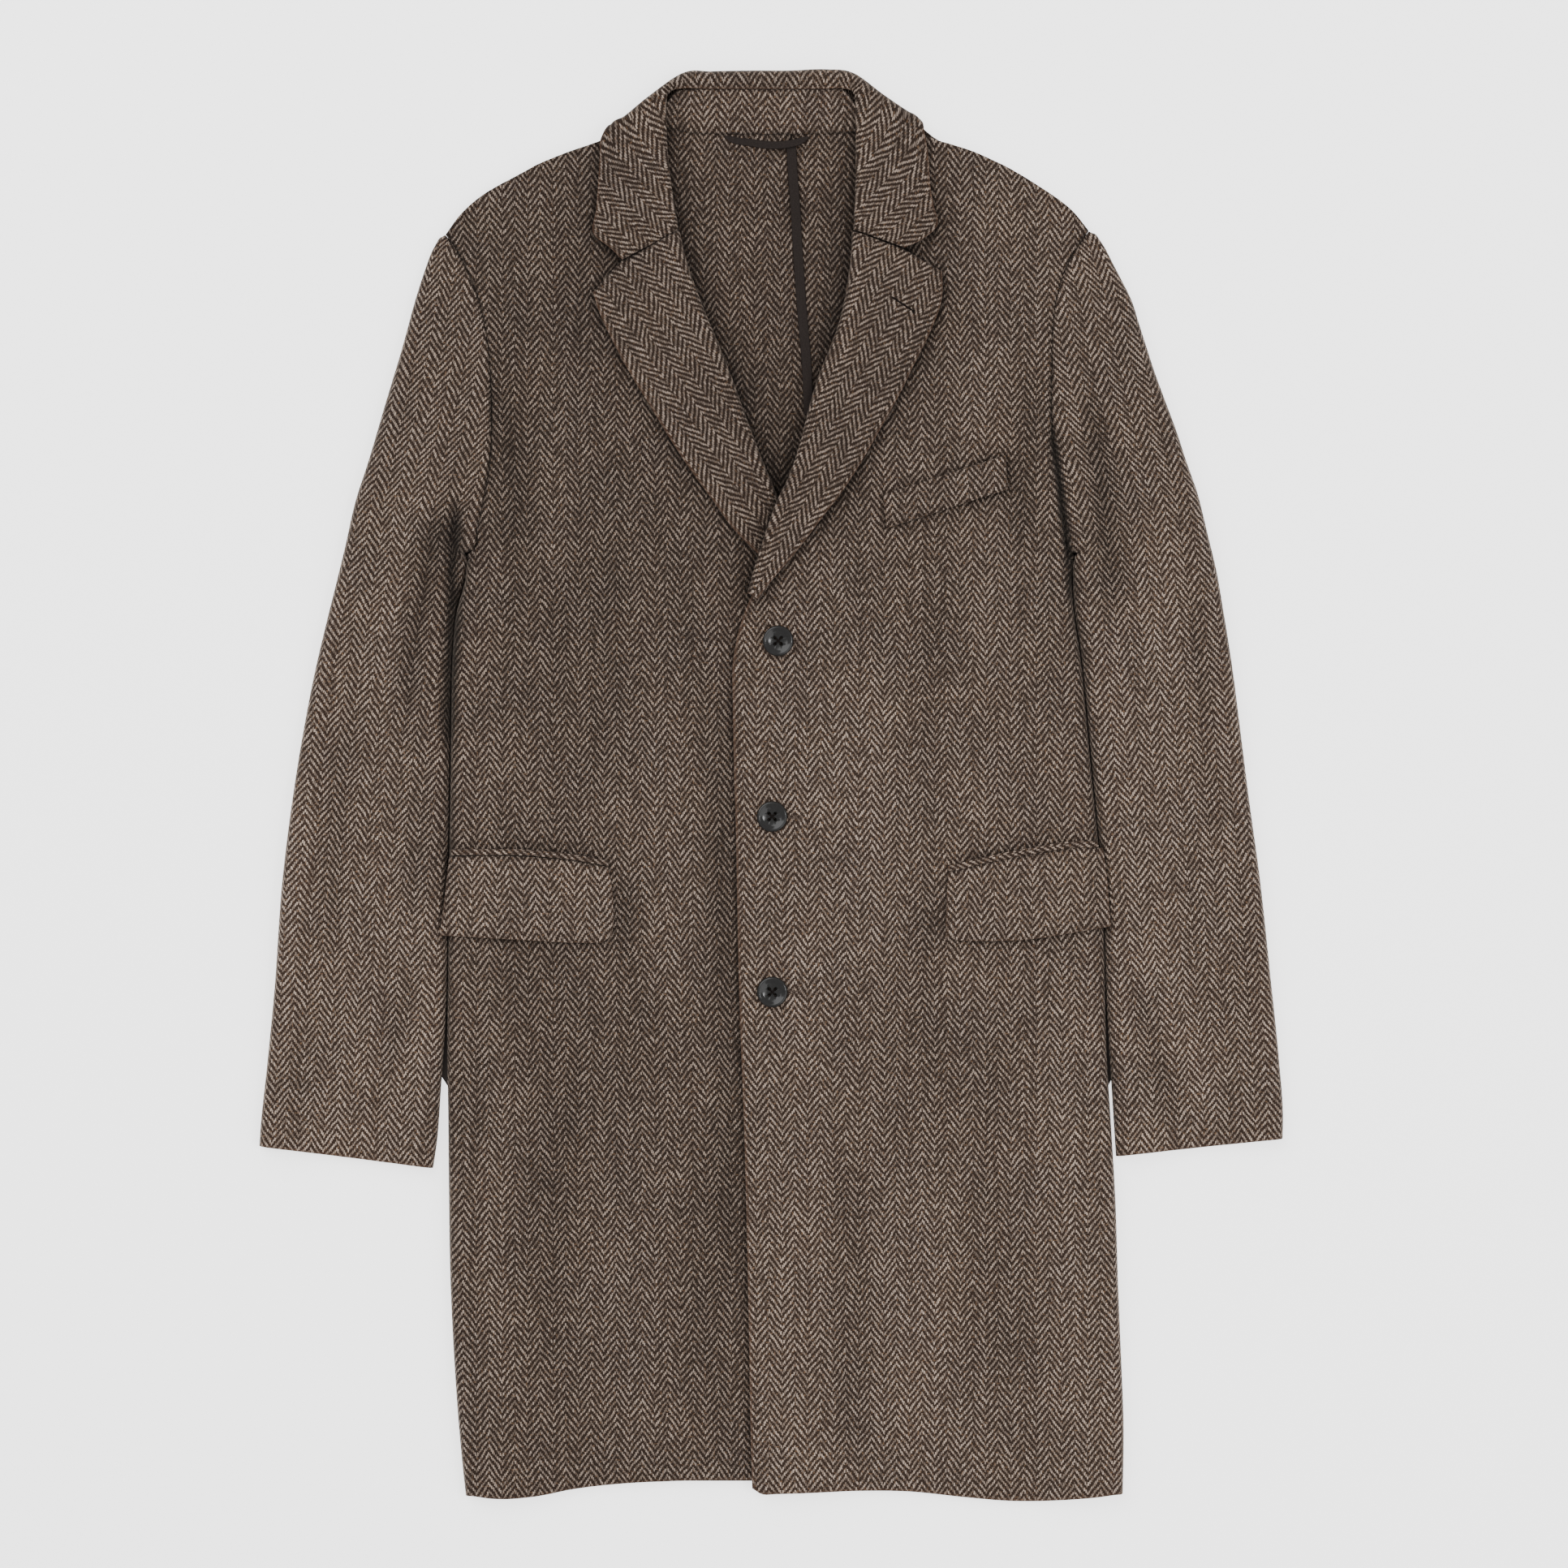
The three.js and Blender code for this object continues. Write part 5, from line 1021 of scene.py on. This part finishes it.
def wool(name, dark, light, offset=(0.0, 0.0), strength=1.0):
    """Brushed wool coating, dark ground with light lines, browner on cut rims; its colour is scaled by the
    tone attribute, which holds painted light on ridges and painted shade in troughs, hollows and along seams.
    """
    material, tree, shader = principled(name)
    put, calc = nodes_of(tree)
    cloth = put("ShaderNodeUVMap", uv_map="cloth")
    moved = put("ShaderNodeVectorMath", operation="ADD",
                sockets={0: cloth.outputs[0], 1: (offset[0] / CLOTH_UNIT, offset[1] / CLOTH_UNIT, 0)})
    weave = put("ShaderNodeGroup", node_tree=HERRINGBONE, sockets={"Cloth": moved.outputs[0]})
    tone = put("ShaderNodeAttribute", attribute_name="tone")
    rim = put("ShaderNodeAttribute", attribute_name="rim")
    wide = put("ShaderNodeTexNoise", noise_dimensions="2D",
               sockets={"Vector": moved.outputs[0], "Scale": 2.6, "Detail": 3.0, "Roughness": 0.55})
    rare = put("ShaderNodeTexNoise", noise_dimensions="2D",
               sockets={"Vector": moved.outputs[0], "Scale": 61.0, "Detail": 0.0})
    base = put("ShaderNodeMix", data_type="RGBA",
               sockets={"Factor": weave.outputs["Light"], "A": (*dark, 1), "B": (*light, 1)})
    warm = put("ShaderNodeMapRange", sockets={0: rare.outputs[0], 1: 0.72, 2: 0.8, 3: 0.0, 4: 0.25})
    fleck = put("ShaderNodeMix", data_type="RGBA",
                sockets={"Factor": warm.outputs[0], "A": base.outputs["Result"], "B": (0.30, 0.17, 0.09, 1)})
    long = put("ShaderNodeVectorMath", operation="MULTIPLY",
               sockets={0: moved.outputs[0], 1: (15.0, 0.7, 1.0)})
    streak = put("ShaderNodeTexNoise", noise_dimensions="2D",
                 sockets={"Vector": long.outputs[0], "Scale": 1.0, "Detail": 2.0, "Roughness": 0.6})
    tint = put("ShaderNodeMix", data_type="RGBA",
               sockets={"Factor": wide.outputs[0], "A": (0.96, 0.985, 1.03, 1), "B": (1.04, 1.015, 0.97, 1)})
    # the tone attribute carries the painted light and shade; the wide noise is random patchiness of the cloth
    shade = calc("MULTIPLY", tone.outputs["Fac"], calc("MULTIPLY_ADD", wide.outputs[0], 0.3, 0.85))
    fuzz = calc("MULTIPLY_ADD", weave.outputs["Fuzz"], 0.5, 0.75)
    level = calc("MULTIPLY", calc("MULTIPLY", shade, fuzz),
                 calc("MULTIPLY_ADD", streak.outputs[0], 0.3, 0.85))
    tinted = put("ShaderNodeVectorMath", operation="MULTIPLY",
                 sockets={0: fleck.outputs["Result"], 1: tint.outputs["Result"]})
    lit = put("ShaderNodeVectorMath", operation="SCALE", sockets={0: tinted.outputs[0], 3: level})
    worn = put("ShaderNodeMix", data_type="RGBA",
               sockets={"Factor": calc("MULTIPLY", rim.outputs["Fac"], 0.6), "A": lit.outputs[0],
                        "B": (0.085, 0.045, 0.028, 1)})
    tree.links.new(worn.outputs["Result"], shader.inputs["Base Color"])
    bump = put("ShaderNodeBump", sockets={"Strength": 0.55 * strength, "Distance": 0.0009,
                                          "Height": weave.outputs["Height"]})
    tree.links.new(bump.outputs[0], shader.inputs["Normal"])
    tree.links.new(calc("MULTIPLY_ADD", weave.outputs["Fuzz"], 0.12, 0.84), shader.inputs["Roughness"])
    shader.inputs["Sheen Weight"].default_value = 0.12
    shader.inputs["Sheen Roughness"].default_value = 0.5
    shader.inputs["Sheen Tint"].default_value = (0.62, 0.54, 0.47, 1)
    shader.inputs["Specular IOR Level"].default_value = 0.12
    return material


def tape_material():
    """Dark brown twill tape with a fine ribbed surface."""
    material, tree, shader = principled("tape_twill")
    put, calc = nodes_of(tree)
    cloth = put("ShaderNodeUVMap", uv_map="cloth")
    scaled = put("ShaderNodeVectorMath", operation="SCALE", sockets={0: cloth.outputs[0], 3: CLOTH_UNIT})
    parts = put("ShaderNodeSeparateXYZ", sockets={0: scaled.outputs[0]})
    ribs = calc("SINE", calc("MULTIPLY", calc("ADD", parts.outputs[0], parts.outputs[1]), 7.4))
    noise = put("ShaderNodeTexNoise", noise_dimensions="2D",
                sockets={"Vector": scaled.outputs[0], "Scale": 1.1, "Detail": 3.0})
    level = calc("MULTIPLY_ADD", ribs, 0.14, calc("ADD", noise.outputs[0], 0.1), clamp=True)
    color = put("ShaderNodeMix", data_type="RGBA",
                sockets={"Factor": level, "A": (0.0065, 0.0049, 0.0043, 1), "B": (0.0270, 0.0208, 0.0186, 1)})
    tree.links.new(color.outputs["Result"], shader.inputs["Base Color"])
    bump = put("ShaderNodeBump", sockets={"Strength": 0.4, "Distance": 0.0003, "Height": ribs})
    tree.links.new(bump.outputs[0], shader.inputs["Normal"])
    shader.inputs["Roughness"].default_value = 0.9
    shader.inputs["Specular IOR Level"].default_value = 0.1
    return material


def button_material():
    """Polished dark horn-like resin with faint cloudy streaks."""
    material, tree, shader = principled("button_resin")
    put, calc = nodes_of(tree)
    at = put("ShaderNodeTexCoord")
    cloud = put("ShaderNodeTexNoise",
                sockets={"Vector": at.outputs["Object"], "Scale": 240.0, "Detail": 4.0, "Distortion": 1.6})
    color = put("ShaderNodeMix", data_type="RGBA",
                sockets={"Factor": calc("MULTIPLY", cloud.outputs[0], 0.9, clamp=True),
                         "A": (0.004, 0.004, 0.004, 1), "B": (0.014, 0.013, 0.012, 1)})
    tree.links.new(color.outputs["Result"], shader.inputs["Base Color"])
    scratch = put("ShaderNodeTexNoise",
                  sockets={"Vector": at.outputs["Object"], "Scale": 900.0, "Detail": 2.0})
    tree.links.new(calc("MULTIPLY_ADD", scratch.outputs[0], 0.14, 0.1), shader.inputs["Roughness"])
    shader.inputs["Specular IOR Level"].default_value = 0.32
    return material


def thread_material(name, low, high):
    """Matt thread with a fine twist."""
    material, tree, shader = principled(name)
    put, _ = nodes_of(tree)
    at = put("ShaderNodeTexCoord")
    twist = put("ShaderNodeTexWave", wave_type="BANDS", bands_direction="DIAGONAL",
                sockets={"Vector": at.outputs["Object"], "Scale": 420.0, "Distortion": 1.0})
    color = put("ShaderNodeMix", data_type="RGBA",
                sockets={"Factor": twist.outputs["Fac"], "A": (*low, 1), "B": (*high, 1)})
    tree.links.new(color.outputs["Result"], shader.inputs["Base Color"])
    bump = put("ShaderNodeBump",
               sockets={"Strength": 0.4, "Distance": 0.0002, "Height": twist.outputs["Fac"]})
    tree.links.new(bump.outputs[0], shader.inputs["Normal"])
    shader.inputs["Roughness"].default_value = 0.9
    shader.inputs["Specular IOR Level"].default_value = 0.05
    return material


HERRINGBONE = herringbone_group()
DARK, PALE = (0.0172, 0.0092, 0.0057), (0.322, 0.252, 0.204)
WOOL = wool("wool_body", DARK, PALE)
WOOL_SLEEVE = wool("wool_sleeve", DARK, PALE, (4.1, 1.7))
WOOL_TURNED = wool("wool_turned", DARK, PALE, (2.3, 0.9))
WOOL_INSIDE = wool("wool_inside", (0.0160, 0.0086, 0.0054), (0.272, 0.213, 0.173), (1.4, 2.2))
WOOL_POCKET = wool("wool_pocket", DARK, PALE, (3.0, 0.4))
TAPE = tape_material()
RESIN = button_material()
THREAD_AND_SLIT_SHADE = thread_material("button_thread_and_slit_shade", (0.003, 0.0025, 0.002), (0.012, 0.009, 0.008))
SILK = thread_material("buttonhole_silk", (0.030, 0.020, 0.016), (0.135, 0.100, 0.080))

# Coat, from the floor up.
back_right_grid, back_left_grid = back_rows(RIGHT), back_rows(LEFT)
BACKS = [(back_right_grid[..., :3], CLOTH), (back_left_grid[..., :3], CLOTH)]
backs = Pile(*BACKS)
binding_grid = laid(backs, ribbon_rows(BINDING_PATH, BINDING_WIDTHS), TAPE_CLOTH, SEAM)
BINDING = (binding_grid[..., :3], TAPE_CLOTH)
loop_grid = laid(Pile(*BACKS, BINDING), ribbon_rows(LOOP_PATH, LOOP_WIDTHS), TAPE_CLOTH, SEAM)
under_right = Pile(*BACKS, BINDING)
front_right_grid = front_rows(RIGHT, under_right)
FRONT_RIGHT = (front_right_grid[..., :3], CLOTH)
lapel_right_grid = lapel_rows(RIGHT, Pile(*BACKS, BINDING, FRONT_RIGHT), under_right)
LAPEL_RIGHT = (lapel_right_grid[..., :3], LAPEL_CLOTH)
under_left = Pile(*BACKS, BINDING, FRONT_RIGHT, LAPEL_RIGHT)
front_left_grid = front_rows(LEFT, under_left)
FRONT_LEFT = (front_left_grid[..., :3], CLOTH)
on_left = Pile(*BACKS, BINDING, FRONT_RIGHT, LAPEL_RIGHT, FRONT_LEFT)
lapel_left_grid = lapel_rows(LEFT, on_left, under_left)
right_lines, left_lines = sleeve_lines(RIGHT, under_right), sleeve_lines(LEFT, under_left)
top_right_grid, top_left_grid = top_sleeve_rows(right_lines), top_sleeve_rows(left_lines)
collar_grid = collar_rows(Pile(*BACKS, FRONT_RIGHT, FRONT_LEFT))
on_fronts = Pile(FRONT_RIGHT, FRONT_LEFT, (top_right_grid[..., :3], CLOTH), (top_left_grid[..., :3], CLOTH))

FLOOR = "floor"
# borders: dip in mm, depth of the painted shade along them, share of brown fuzz
NECK_SIDE = {"first column": SEAM_EDGE, "last row": (0, 0.3, 0)}
SLEEVE_SEWN = {"last column": SEAM_EDGE, "last row": (0, 0, 0)}
COLLAR_SEWN, GORGE = {"first row": GORGE_EDGE, "last row": GORGE_EDGE}, {"first row": GORGE_EDGE}
FLAP_SEWN = {"first row": SEAM_EDGE, "last row": PRESSED_EDGE, "first column": PRESSED_EDGE,
             "last column": PRESSED_EDGE}
BORDERS = ("first row", "last row", "first column", "last column")
JET_SEWN = dict.fromkeys(BORDERS, (0.3, 0.15, 0.15))
WELT_SEWN = {**dict.fromkeys(BORDERS, (0.6, 0.1, 0.1)), "first row": (0.7, 0.3, 0.1)}
LAYERS = {
    "back_right": (back_right_grid, CLOTH, 7, WOOL_INSIDE, "laid", [FLOOR], NECK_SIDE),
    "back_left": (back_left_grid, CLOTH, 7, WOOL_INSIDE, "laid", [FLOOR], NECK_SIDE),
    "seam_binding": (binding_grid, TAPE_CLOTH, 2.5, TAPE, "laid",
                     ["back_right_cloth", "back_left_cloth"], {}),
    "hanger_loop": (loop_grid, TAPE_CLOTH, 1.6, TAPE, "laid", ["back_right_cloth"], {}),
    "collar_stand": (stand_rows(), STAND_CLOTH, 3, WOOL_INSIDE, "folded", ["back_right_cloth"],
                     {"first column": SEAM_EDGE, "last column": GORGE_EDGE, "first row": (0.2, 0.05, 0),
                      "last row": (0.2, 0.05, 0)}),
    "front_right": (front_right_grid, CLOTH, 5, WOOL, "laid", ["back_right_cloth"], SLEEVE_SEWN),
    "front_left": (front_left_grid, CLOTH, 5, WOOL, "laid", ["back_left_cloth"], SLEEVE_SEWN),
    "lapel_right": (lapel_right_grid, LAPEL_CLOTH, 3, WOOL_TURNED, "folded", ["front_right_cloth"], GORGE),
    "lapel_left": (lapel_left_grid, LAPEL_CLOTH, 3, WOOL_TURNED, "folded", ["front_left_cloth"], GORGE),
    "under_sleeve_right": (under_sleeve_rows(right_lines), CLOTH, 9, WOOL_SLEEVE, "laid", [FLOOR], {}),
    "under_sleeve_left": (under_sleeve_rows(left_lines), CLOTH, 9, WOOL_SLEEVE, "laid", [FLOOR], {}),
    "top_sleeve_right": (top_right_grid, CLOTH, 5, WOOL_SLEEVE, "laid",
                         ["under_sleeve_right_cloth"], SLEEVE_SEWN),
    "top_sleeve_left": (top_left_grid, CLOTH, 5, WOOL_SLEEVE, "laid",
                        ["under_sleeve_left_cloth"], SLEEVE_SEWN),
    "collar_fall": (collar_grid, COLLAR_CLOTH, 3, WOOL_TURNED, "folded", ["front_right_cloth"], COLLAR_SEWN),
    "chest_welt": (laid(on_fronts, CHEST_WELT, WELT_CLOTH, REST_SEEN), WELT_CLOTH, 2.5, WOOL_POCKET, "laid",
                   ["front_left_cloth"], WELT_SEWN)}
for side, jet, flap in (("right", JET_RIGHT, FLAP_RIGHT), ("left", JET_LEFT, FLAP_LEFT)):
    slant = math.atan((jet[0][-1][1] - jet[0][0][1]) / (jet[0][-1][0] - jet[0][0][0]))
    LAYERS[f"jet_{side}"] = (laid(on_fronts, jet, JET_CLOTH, REST, math.pi / 2 + slant), JET_CLOTH, 2,
                             WOOL_POCKET, "laid", [f"front_{side}_cloth"], JET_SEWN)
    LAYERS[f"flap_{side}"] = (laid(on_fronts, flap, FLAP_SEEN, REST_SEEN), FLAP_SEEN, 3, WOOL_POCKET, "laid",
                              [f"front_{side}_cloth"], FLAP_SEWN)
PLANS = {node: planned(grid, thickness, spacing, sewn, LIGHTNESS.get(node, 1.0))
         for node, (grid, thickness, spacing, _, _, _, sewn) in LAYERS.items()}
# inner pieces keep less of the hollows' painted shade and get painted shade beside the roll lines in their
# lightness
for node in INNER:
    PLANS[node]["shelter"] = INNER_SHELTER
    for depth, width, points in ROLL_SHADE:
        away, _ = near_line(PLANS[node]["middle"][..., 0], PLANS[node]["middle"][..., 1], points)
        PLANS[node]["lightness"] = PLANS[node]["lightness"] * (1 - depth * np.exp(-(away / width) ** 2))
HOLLOWS = Hollows([(plan["middle"], plan["normal"], plan["thickness"]) for plan in PLANS.values()])
for node, (_, _, _, material, held_as, rests_on, _) in LAYERS.items():
    cloth_piece = make_wall(node + "_cloth", PLANS[node], material)
    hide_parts(node)
    declare(PLANS[node], held_as, rests_on)


# Buttons and threads.
def button_mesh(name, centre, base):
    """A turned four-hole button: fine section, real holes cut through."""
    section = resampled(np.array([[(r, z, 0.0)] for r, z in BUTTON_SECTION[1:-1]], float),
                        np.linspace(0, len(BUTTON_SECTION) - 3, 25))[:, 0]
    turns = 72
    points = []
    for r, z, _ in section:
        points += [(r * math.cos(2 * math.pi * k / turns), r * math.sin(2 * math.pi * k / turns), z)
                   for k in range(turns)]
    rings = len(section)
    points += [(0, 0, section[0][1]), (0, 0, BUTTON_FACE)]
    faces = []
    for i in range(rings - 1):
        for k in range(turns):
            n = (k + 1) % turns
            faces.append((i * turns + k, i * turns + n, (i + 1) * turns + n, (i + 1) * turns + k))
    for k in range(turns):
        n = (k + 1) % turns
        faces.append((n, k, rings * turns))
        faces.append(((rings - 1) * turns + k, (rings - 1) * turns + n, rings * turns + 1))
    place = [((x + centre[0]) / 1000, (y + centre[1]) / 1000, (z + base) / 1000) for x, y, z in points]
    mesh = bpy.data.meshes.new(name)
    mesh.from_pydata(place, [], faces)
    mesh.polygons.foreach_set("use_smooth", [True] * len(faces))
    mesh.materials.append(RESIN)
    return mesh


def rod(points, radius, sides=8):
    """Vertices and faces of a round closed rod along points, in mm."""
    points = np.array(points, float)
    step = np.gradient(points, axis=0)
    step /= np.linalg.norm(step, axis=1, keepdims=True)
    up = np.where(np.abs(step[:, 2:3]) > 0.9, [[1.0, 0, 0]], [[0, 0, 1.0]])
    side = np.cross(step, up)
    side /= np.linalg.norm(side, axis=1, keepdims=True)
    other = np.cross(side, step)
    angle = np.arange(sides) * 2 * math.pi / sides
    taper = np.ones(len(points))
    taper[0] = taper[-1] = 0.45
    ring = (points[:, None] + radius * taper[:, None, None]
            * (np.cos(angle)[None, :, None] * side[:, None] + np.sin(angle)[None, :, None] * other[:, None]))
    vertices = [tuple(v) for v in ring.reshape(-1, 3)]
    faces = []
    for i in range(len(points) - 1):
        for k in range(sides):
            n = (k + 1) % sides
            faces.append((i * sides + k, i * sides + n, (i + 1) * sides + n, (i + 1) * sides + k))
    faces.append(tuple(range(sides))[::-1])
    faces.append(tuple((len(points) - 1) * sides + k for k in range(sides)))
    return vertices, faces


def join_rods(name, rods, material):
    vertices, faces = [], []
    for some, some_faces in rods:
        start = len(vertices)
        vertices += [tuple(c / 1000 for c in v) for v in some]
        faces += [tuple(k + start for k in face) for face in some_faces]
    mesh = bpy.data.meshes.new(name)
    mesh.from_pydata(vertices, [], faces)
    mesh.polygons.foreach_set("use_smooth", [True] * len(faces))
    mesh.materials.append(material)
    return mesh


def height_on(node, x, y):
    """Top of a piece's cloth at a place, in mm of the frame."""
    cloth = bpy.data.objects[node + "_cloth"]
    _, place, _, _ = cloth.ray_cast(Vector((x / 1000, y / 1000, 0.2)), Vector((0, 0, -1)))
    return place[2] * 1000


def cut_holes(piece, centre):
    """Four holes through a button, by four booleans, one for each of four cylinders."""
    cutters = []
    for i, j in ((-1, -1), (1, -1), (1, 1), (-1, 1)):
        x, y = centre[0] + i * BUTTON_HOLE_AT, centre[1] + j * BUTTON_HOLE_AT
        bpy.ops.mesh.primitive_cylinder_add(vertices=28, radius=BUTTON_HOLE_RADIUS / 1000, depth=0.02,
                                            location=(x / 1000, y / 1000, centre[2] / 1000))
        cutters.append(bpy.context.object)
    for cutter in cutters:
        change = piece.modifiers.new("hole", "BOOLEAN")
        change.operation, change.object, change.solver = "DIFFERENCE", cutter, "EXACT"
    graph = bpy.context.evaluated_depsgraph_get()
    mesh = bpy.data.meshes.new_from_object(piece.evaluated_get(graph))
    piece.modifiers.clear()
    piece.data = mesh
    for cutter in cutters:
        bpy.data.objects.remove(cutter, do_unlink=True)


bpy.context.view_layer.update()
for number, (x, y) in enumerate(BUTTONS, 1):
    centre = (x - MIDDLE[0], y - MIDDLE[1])
    base = max(height_on("front_left", centre[0] + dx, centre[1] + dy)
               for dx, dy in ((0, 0), (5, 0), (-5, 0), (0, 5), (0, -5))) + BUTTON_SHANK
    name = f"button_{number}_turned"
    piece = add_piece(name, button_mesh(name, centre, base))
    cut_holes(piece, (*centre, base))
    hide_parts(f"button_{number}")
    rods = []
    top = base + BUTTON_FACE
    for way in (1, -1):
        for offset in (-0.32, 0.0, 0.32):
            across = []
            for t in np.linspace(-1, 1, 13):
                rise = top + 0.55 - 2.6 * max(0, abs(t) - 0.8) ** 2 * 12 + (0.25 if way < 0 else 0)
                across.append((centre[0] + THREAD_REACH * t + offset * way * 0.7,
                               centre[1] + way * THREAD_REACH * t - offset * 0.7, rise))
            rods.append(rod(across, THREAD_RADIUS))
    add_piece(f"button_{number}_thread", join_rods(f"button_{number}_thread", rods, THREAD_AND_SLIT_SHADE))


def buttonhole(name, start, end, node, half_width=1.25):
    """Worked buttonhole: a row of short purl stitches on each side of a slit, an eyelet at its end."""
    start, end = np.array(start, float) - MIDDLE, np.array(end, float) - MIDDLE
    length = np.linalg.norm(end - start)
    to = (end - start) / length
    side = np.array([-to[1], to[0]])
    rods = []
    count = int(length / 0.5)
    wobble = np.random.default_rng(11)
    for k in range(count + 1):
        at = start + to * length * k / count
        for s in (-1, 1):
            near, far = at + side * s * 0.28, at + side * s * (half_width + wobble.uniform(-0.1, 0.15))
            z = height_on(node, *at)
            rods.append(rod([(*near, z - 0.15), (*mix(near, far, 0.3), z + 0.42),
                             (*mix(near, far, 0.75), z + 0.4), (*far, z - 0.1)], 0.26, 6))
    for k in range(11):
        angle = -math.pi * 0.75 + k * 1.5 * math.pi / 10
        way = to * math.cos(angle) + side * math.sin(angle)
        z = height_on(node, *end)
        near, far = end + to * 0.7 + way * 0.55, end + to * 0.7 + way * 1.7
        rods.append(rod([(*near, z - 0.15), (*mix(near, far, 0.4), z + 0.42), (*far, z - 0.1)], 0.26, 6))
    return add_piece(name, join_rods(name, rods, SILK))


buttonhole("buttonhole_1", (9, 101.4), (16.5, 101.4), "front_left")
buttonhole("buttonhole_2", (2, -22.9), (19, -22.9), "front_left")
buttonhole("buttonhole_3", (2, -146.8), (19, -146.8), "front_left")
# lapel buttonhole: black rods along the slit and at the eyelet stand in for the shade in them, as painted
# shade; the same black thread sews the buttons
slit = []
for k in range(13):
    x, y = mix(85.1, 100, k / 12) - MIDDLE[0], mix(344.7, 334.9, k / 12) - MIDDLE[1]
    slit.append((x, y, height_on("lapel_left", x, y) + 0.2))
end_x, end_y, end_z = slit[-1]
eyelet = [(end_x + 0.5 * k, end_y - 0.35 * k, end_z + 0.1) for k in range(4)]
add_piece("lapel_buttonhole_shade", join_rods("lapel_buttonhole_shade", [rod(slit, 0.65), rod(eyelet, 1.3)], THREAD_AND_SLIT_SHADE))


# Floor, light, camera.
def under_coat():
    """Outline of the floor that the coat hides, a little inside the coat's own outline."""
    inset, outline = 5, []
    for side in (RIGHT, LEFT):
        half = [(out, y - 3) for out, y in side["shoulder"]]
        half += [(out - inset, y) for y, out in reversed(side["sleeve_out"]) if y < 384]
        half += [(out + inset, max(y - 2 * inset, side["sleeve_in"][0][0] + 9))
                 for y, out in side["sleeve_in"]]
        half += [(value_at(side["fold"], y) - inset, y) for y in range(-222, -490, -20)]
        half = [(side["sign"] * out, y) for out, y in half]
        outline += half if side is RIGHT else half[::-1]
    return outline


def stage_floor(name, outline, height, color, glow):
    """A level sheet of the studio floor; the paper outside the coat is lit through from below, and the dark
    sheet under the coat that does not glow is painted shade.
    """
    mesh = bpy.data.meshes.new(name)
    mesh.from_pydata([(x / 1000, y / 1000, height / 1000) for x, y in outline], [],
                     [tuple(range(len(outline)))])
    if mesh.polygons[0].normal[2] < 0:
        mesh.flip_normals()
    floor = bpy.data.objects.new(name, mesh)
    bpy.context.scene.collection.objects.link(floor)
    material, _, shader = principled(name + "_paper")
    shader.inputs["Base Color"].default_value = color
    shader.inputs["Emission Color"].default_value = (1, 1, 1, 1)
    shader.inputs["Emission Strength"].default_value = glow
    shader.inputs["Roughness"].default_value = 0.9
    mesh.materials.append(material)


def area_light(name, place, target, size, power):
    light = bpy.data.lights.new(name, "AREA")
    light.shape, light.size, light.energy = "SQUARE", size, power
    lamp = bpy.data.objects.new(name, light)
    lamp.location = place
    lamp.rotation_euler = (Vector(target) - Vector(place)).to_track_quat("-Z", "Y").to_euler()
    bpy.context.scene.collection.objects.link(lamp)


FLOOR_SIZE = 6000
stage_floor(FLOOR, [(-FLOOR_SIZE, -FLOOR_SIZE), (FLOOR_SIZE, -FLOOR_SIZE), (FLOOR_SIZE, FLOOR_SIZE),
                    (-FLOOR_SIZE, FLOOR_SIZE)], -0.5, (0.92, 0.92, 0.92, 1), 1.7)
# painted shade: a dark sheet under the coat, so gaps between the pieces show shade instead of the glowing
# paper
stage_floor("floor_shade_under_coat", under_coat(), -0.4, (0.05, 0.04, 0.035, 1), 0)
area_light("key_light", (-1.6, 1.9, 2.6), (0, 0, 0), 3.0, 104)
area_light("fill_light", (2.2, -1.2, 2.8), (0, 0, 0), 3.0, 55)
area_light("side_light", (1.5, 0.2, 2.7), (0, 0, 0), 0.5, 19)
world = bpy.data.worlds.new("studio")
world.use_nodes = True
world.node_tree.nodes["Background"].inputs[0].default_value = (1, 1, 1, 1)
world.node_tree.nodes["Background"].inputs[1].default_value = 0.93
bpy.context.scene.world = world

# whole photograph: 1110.9 mm across, its middle at x 9.2, y 0.3 of the frame
VIEW_WIDTH, VIEW_HEIGHT = 1.1109, 4.0
camera = bpy.data.objects.new("camera", bpy.data.cameras.new("camera"))
camera.data.sensor_width = 36
camera.data.lens = 36 * VIEW_HEIGHT / VIEW_WIDTH
camera.location = ((9.2 - MIDDLE[0]) / 1000, (0.3 - MIDDLE[1]) / 1000, VIEW_HEIGHT)
camera.rotation_euler = (0, 0, 0)
bpy.context.scene.collection.objects.link(camera)
bpy.context.scene.camera = camera
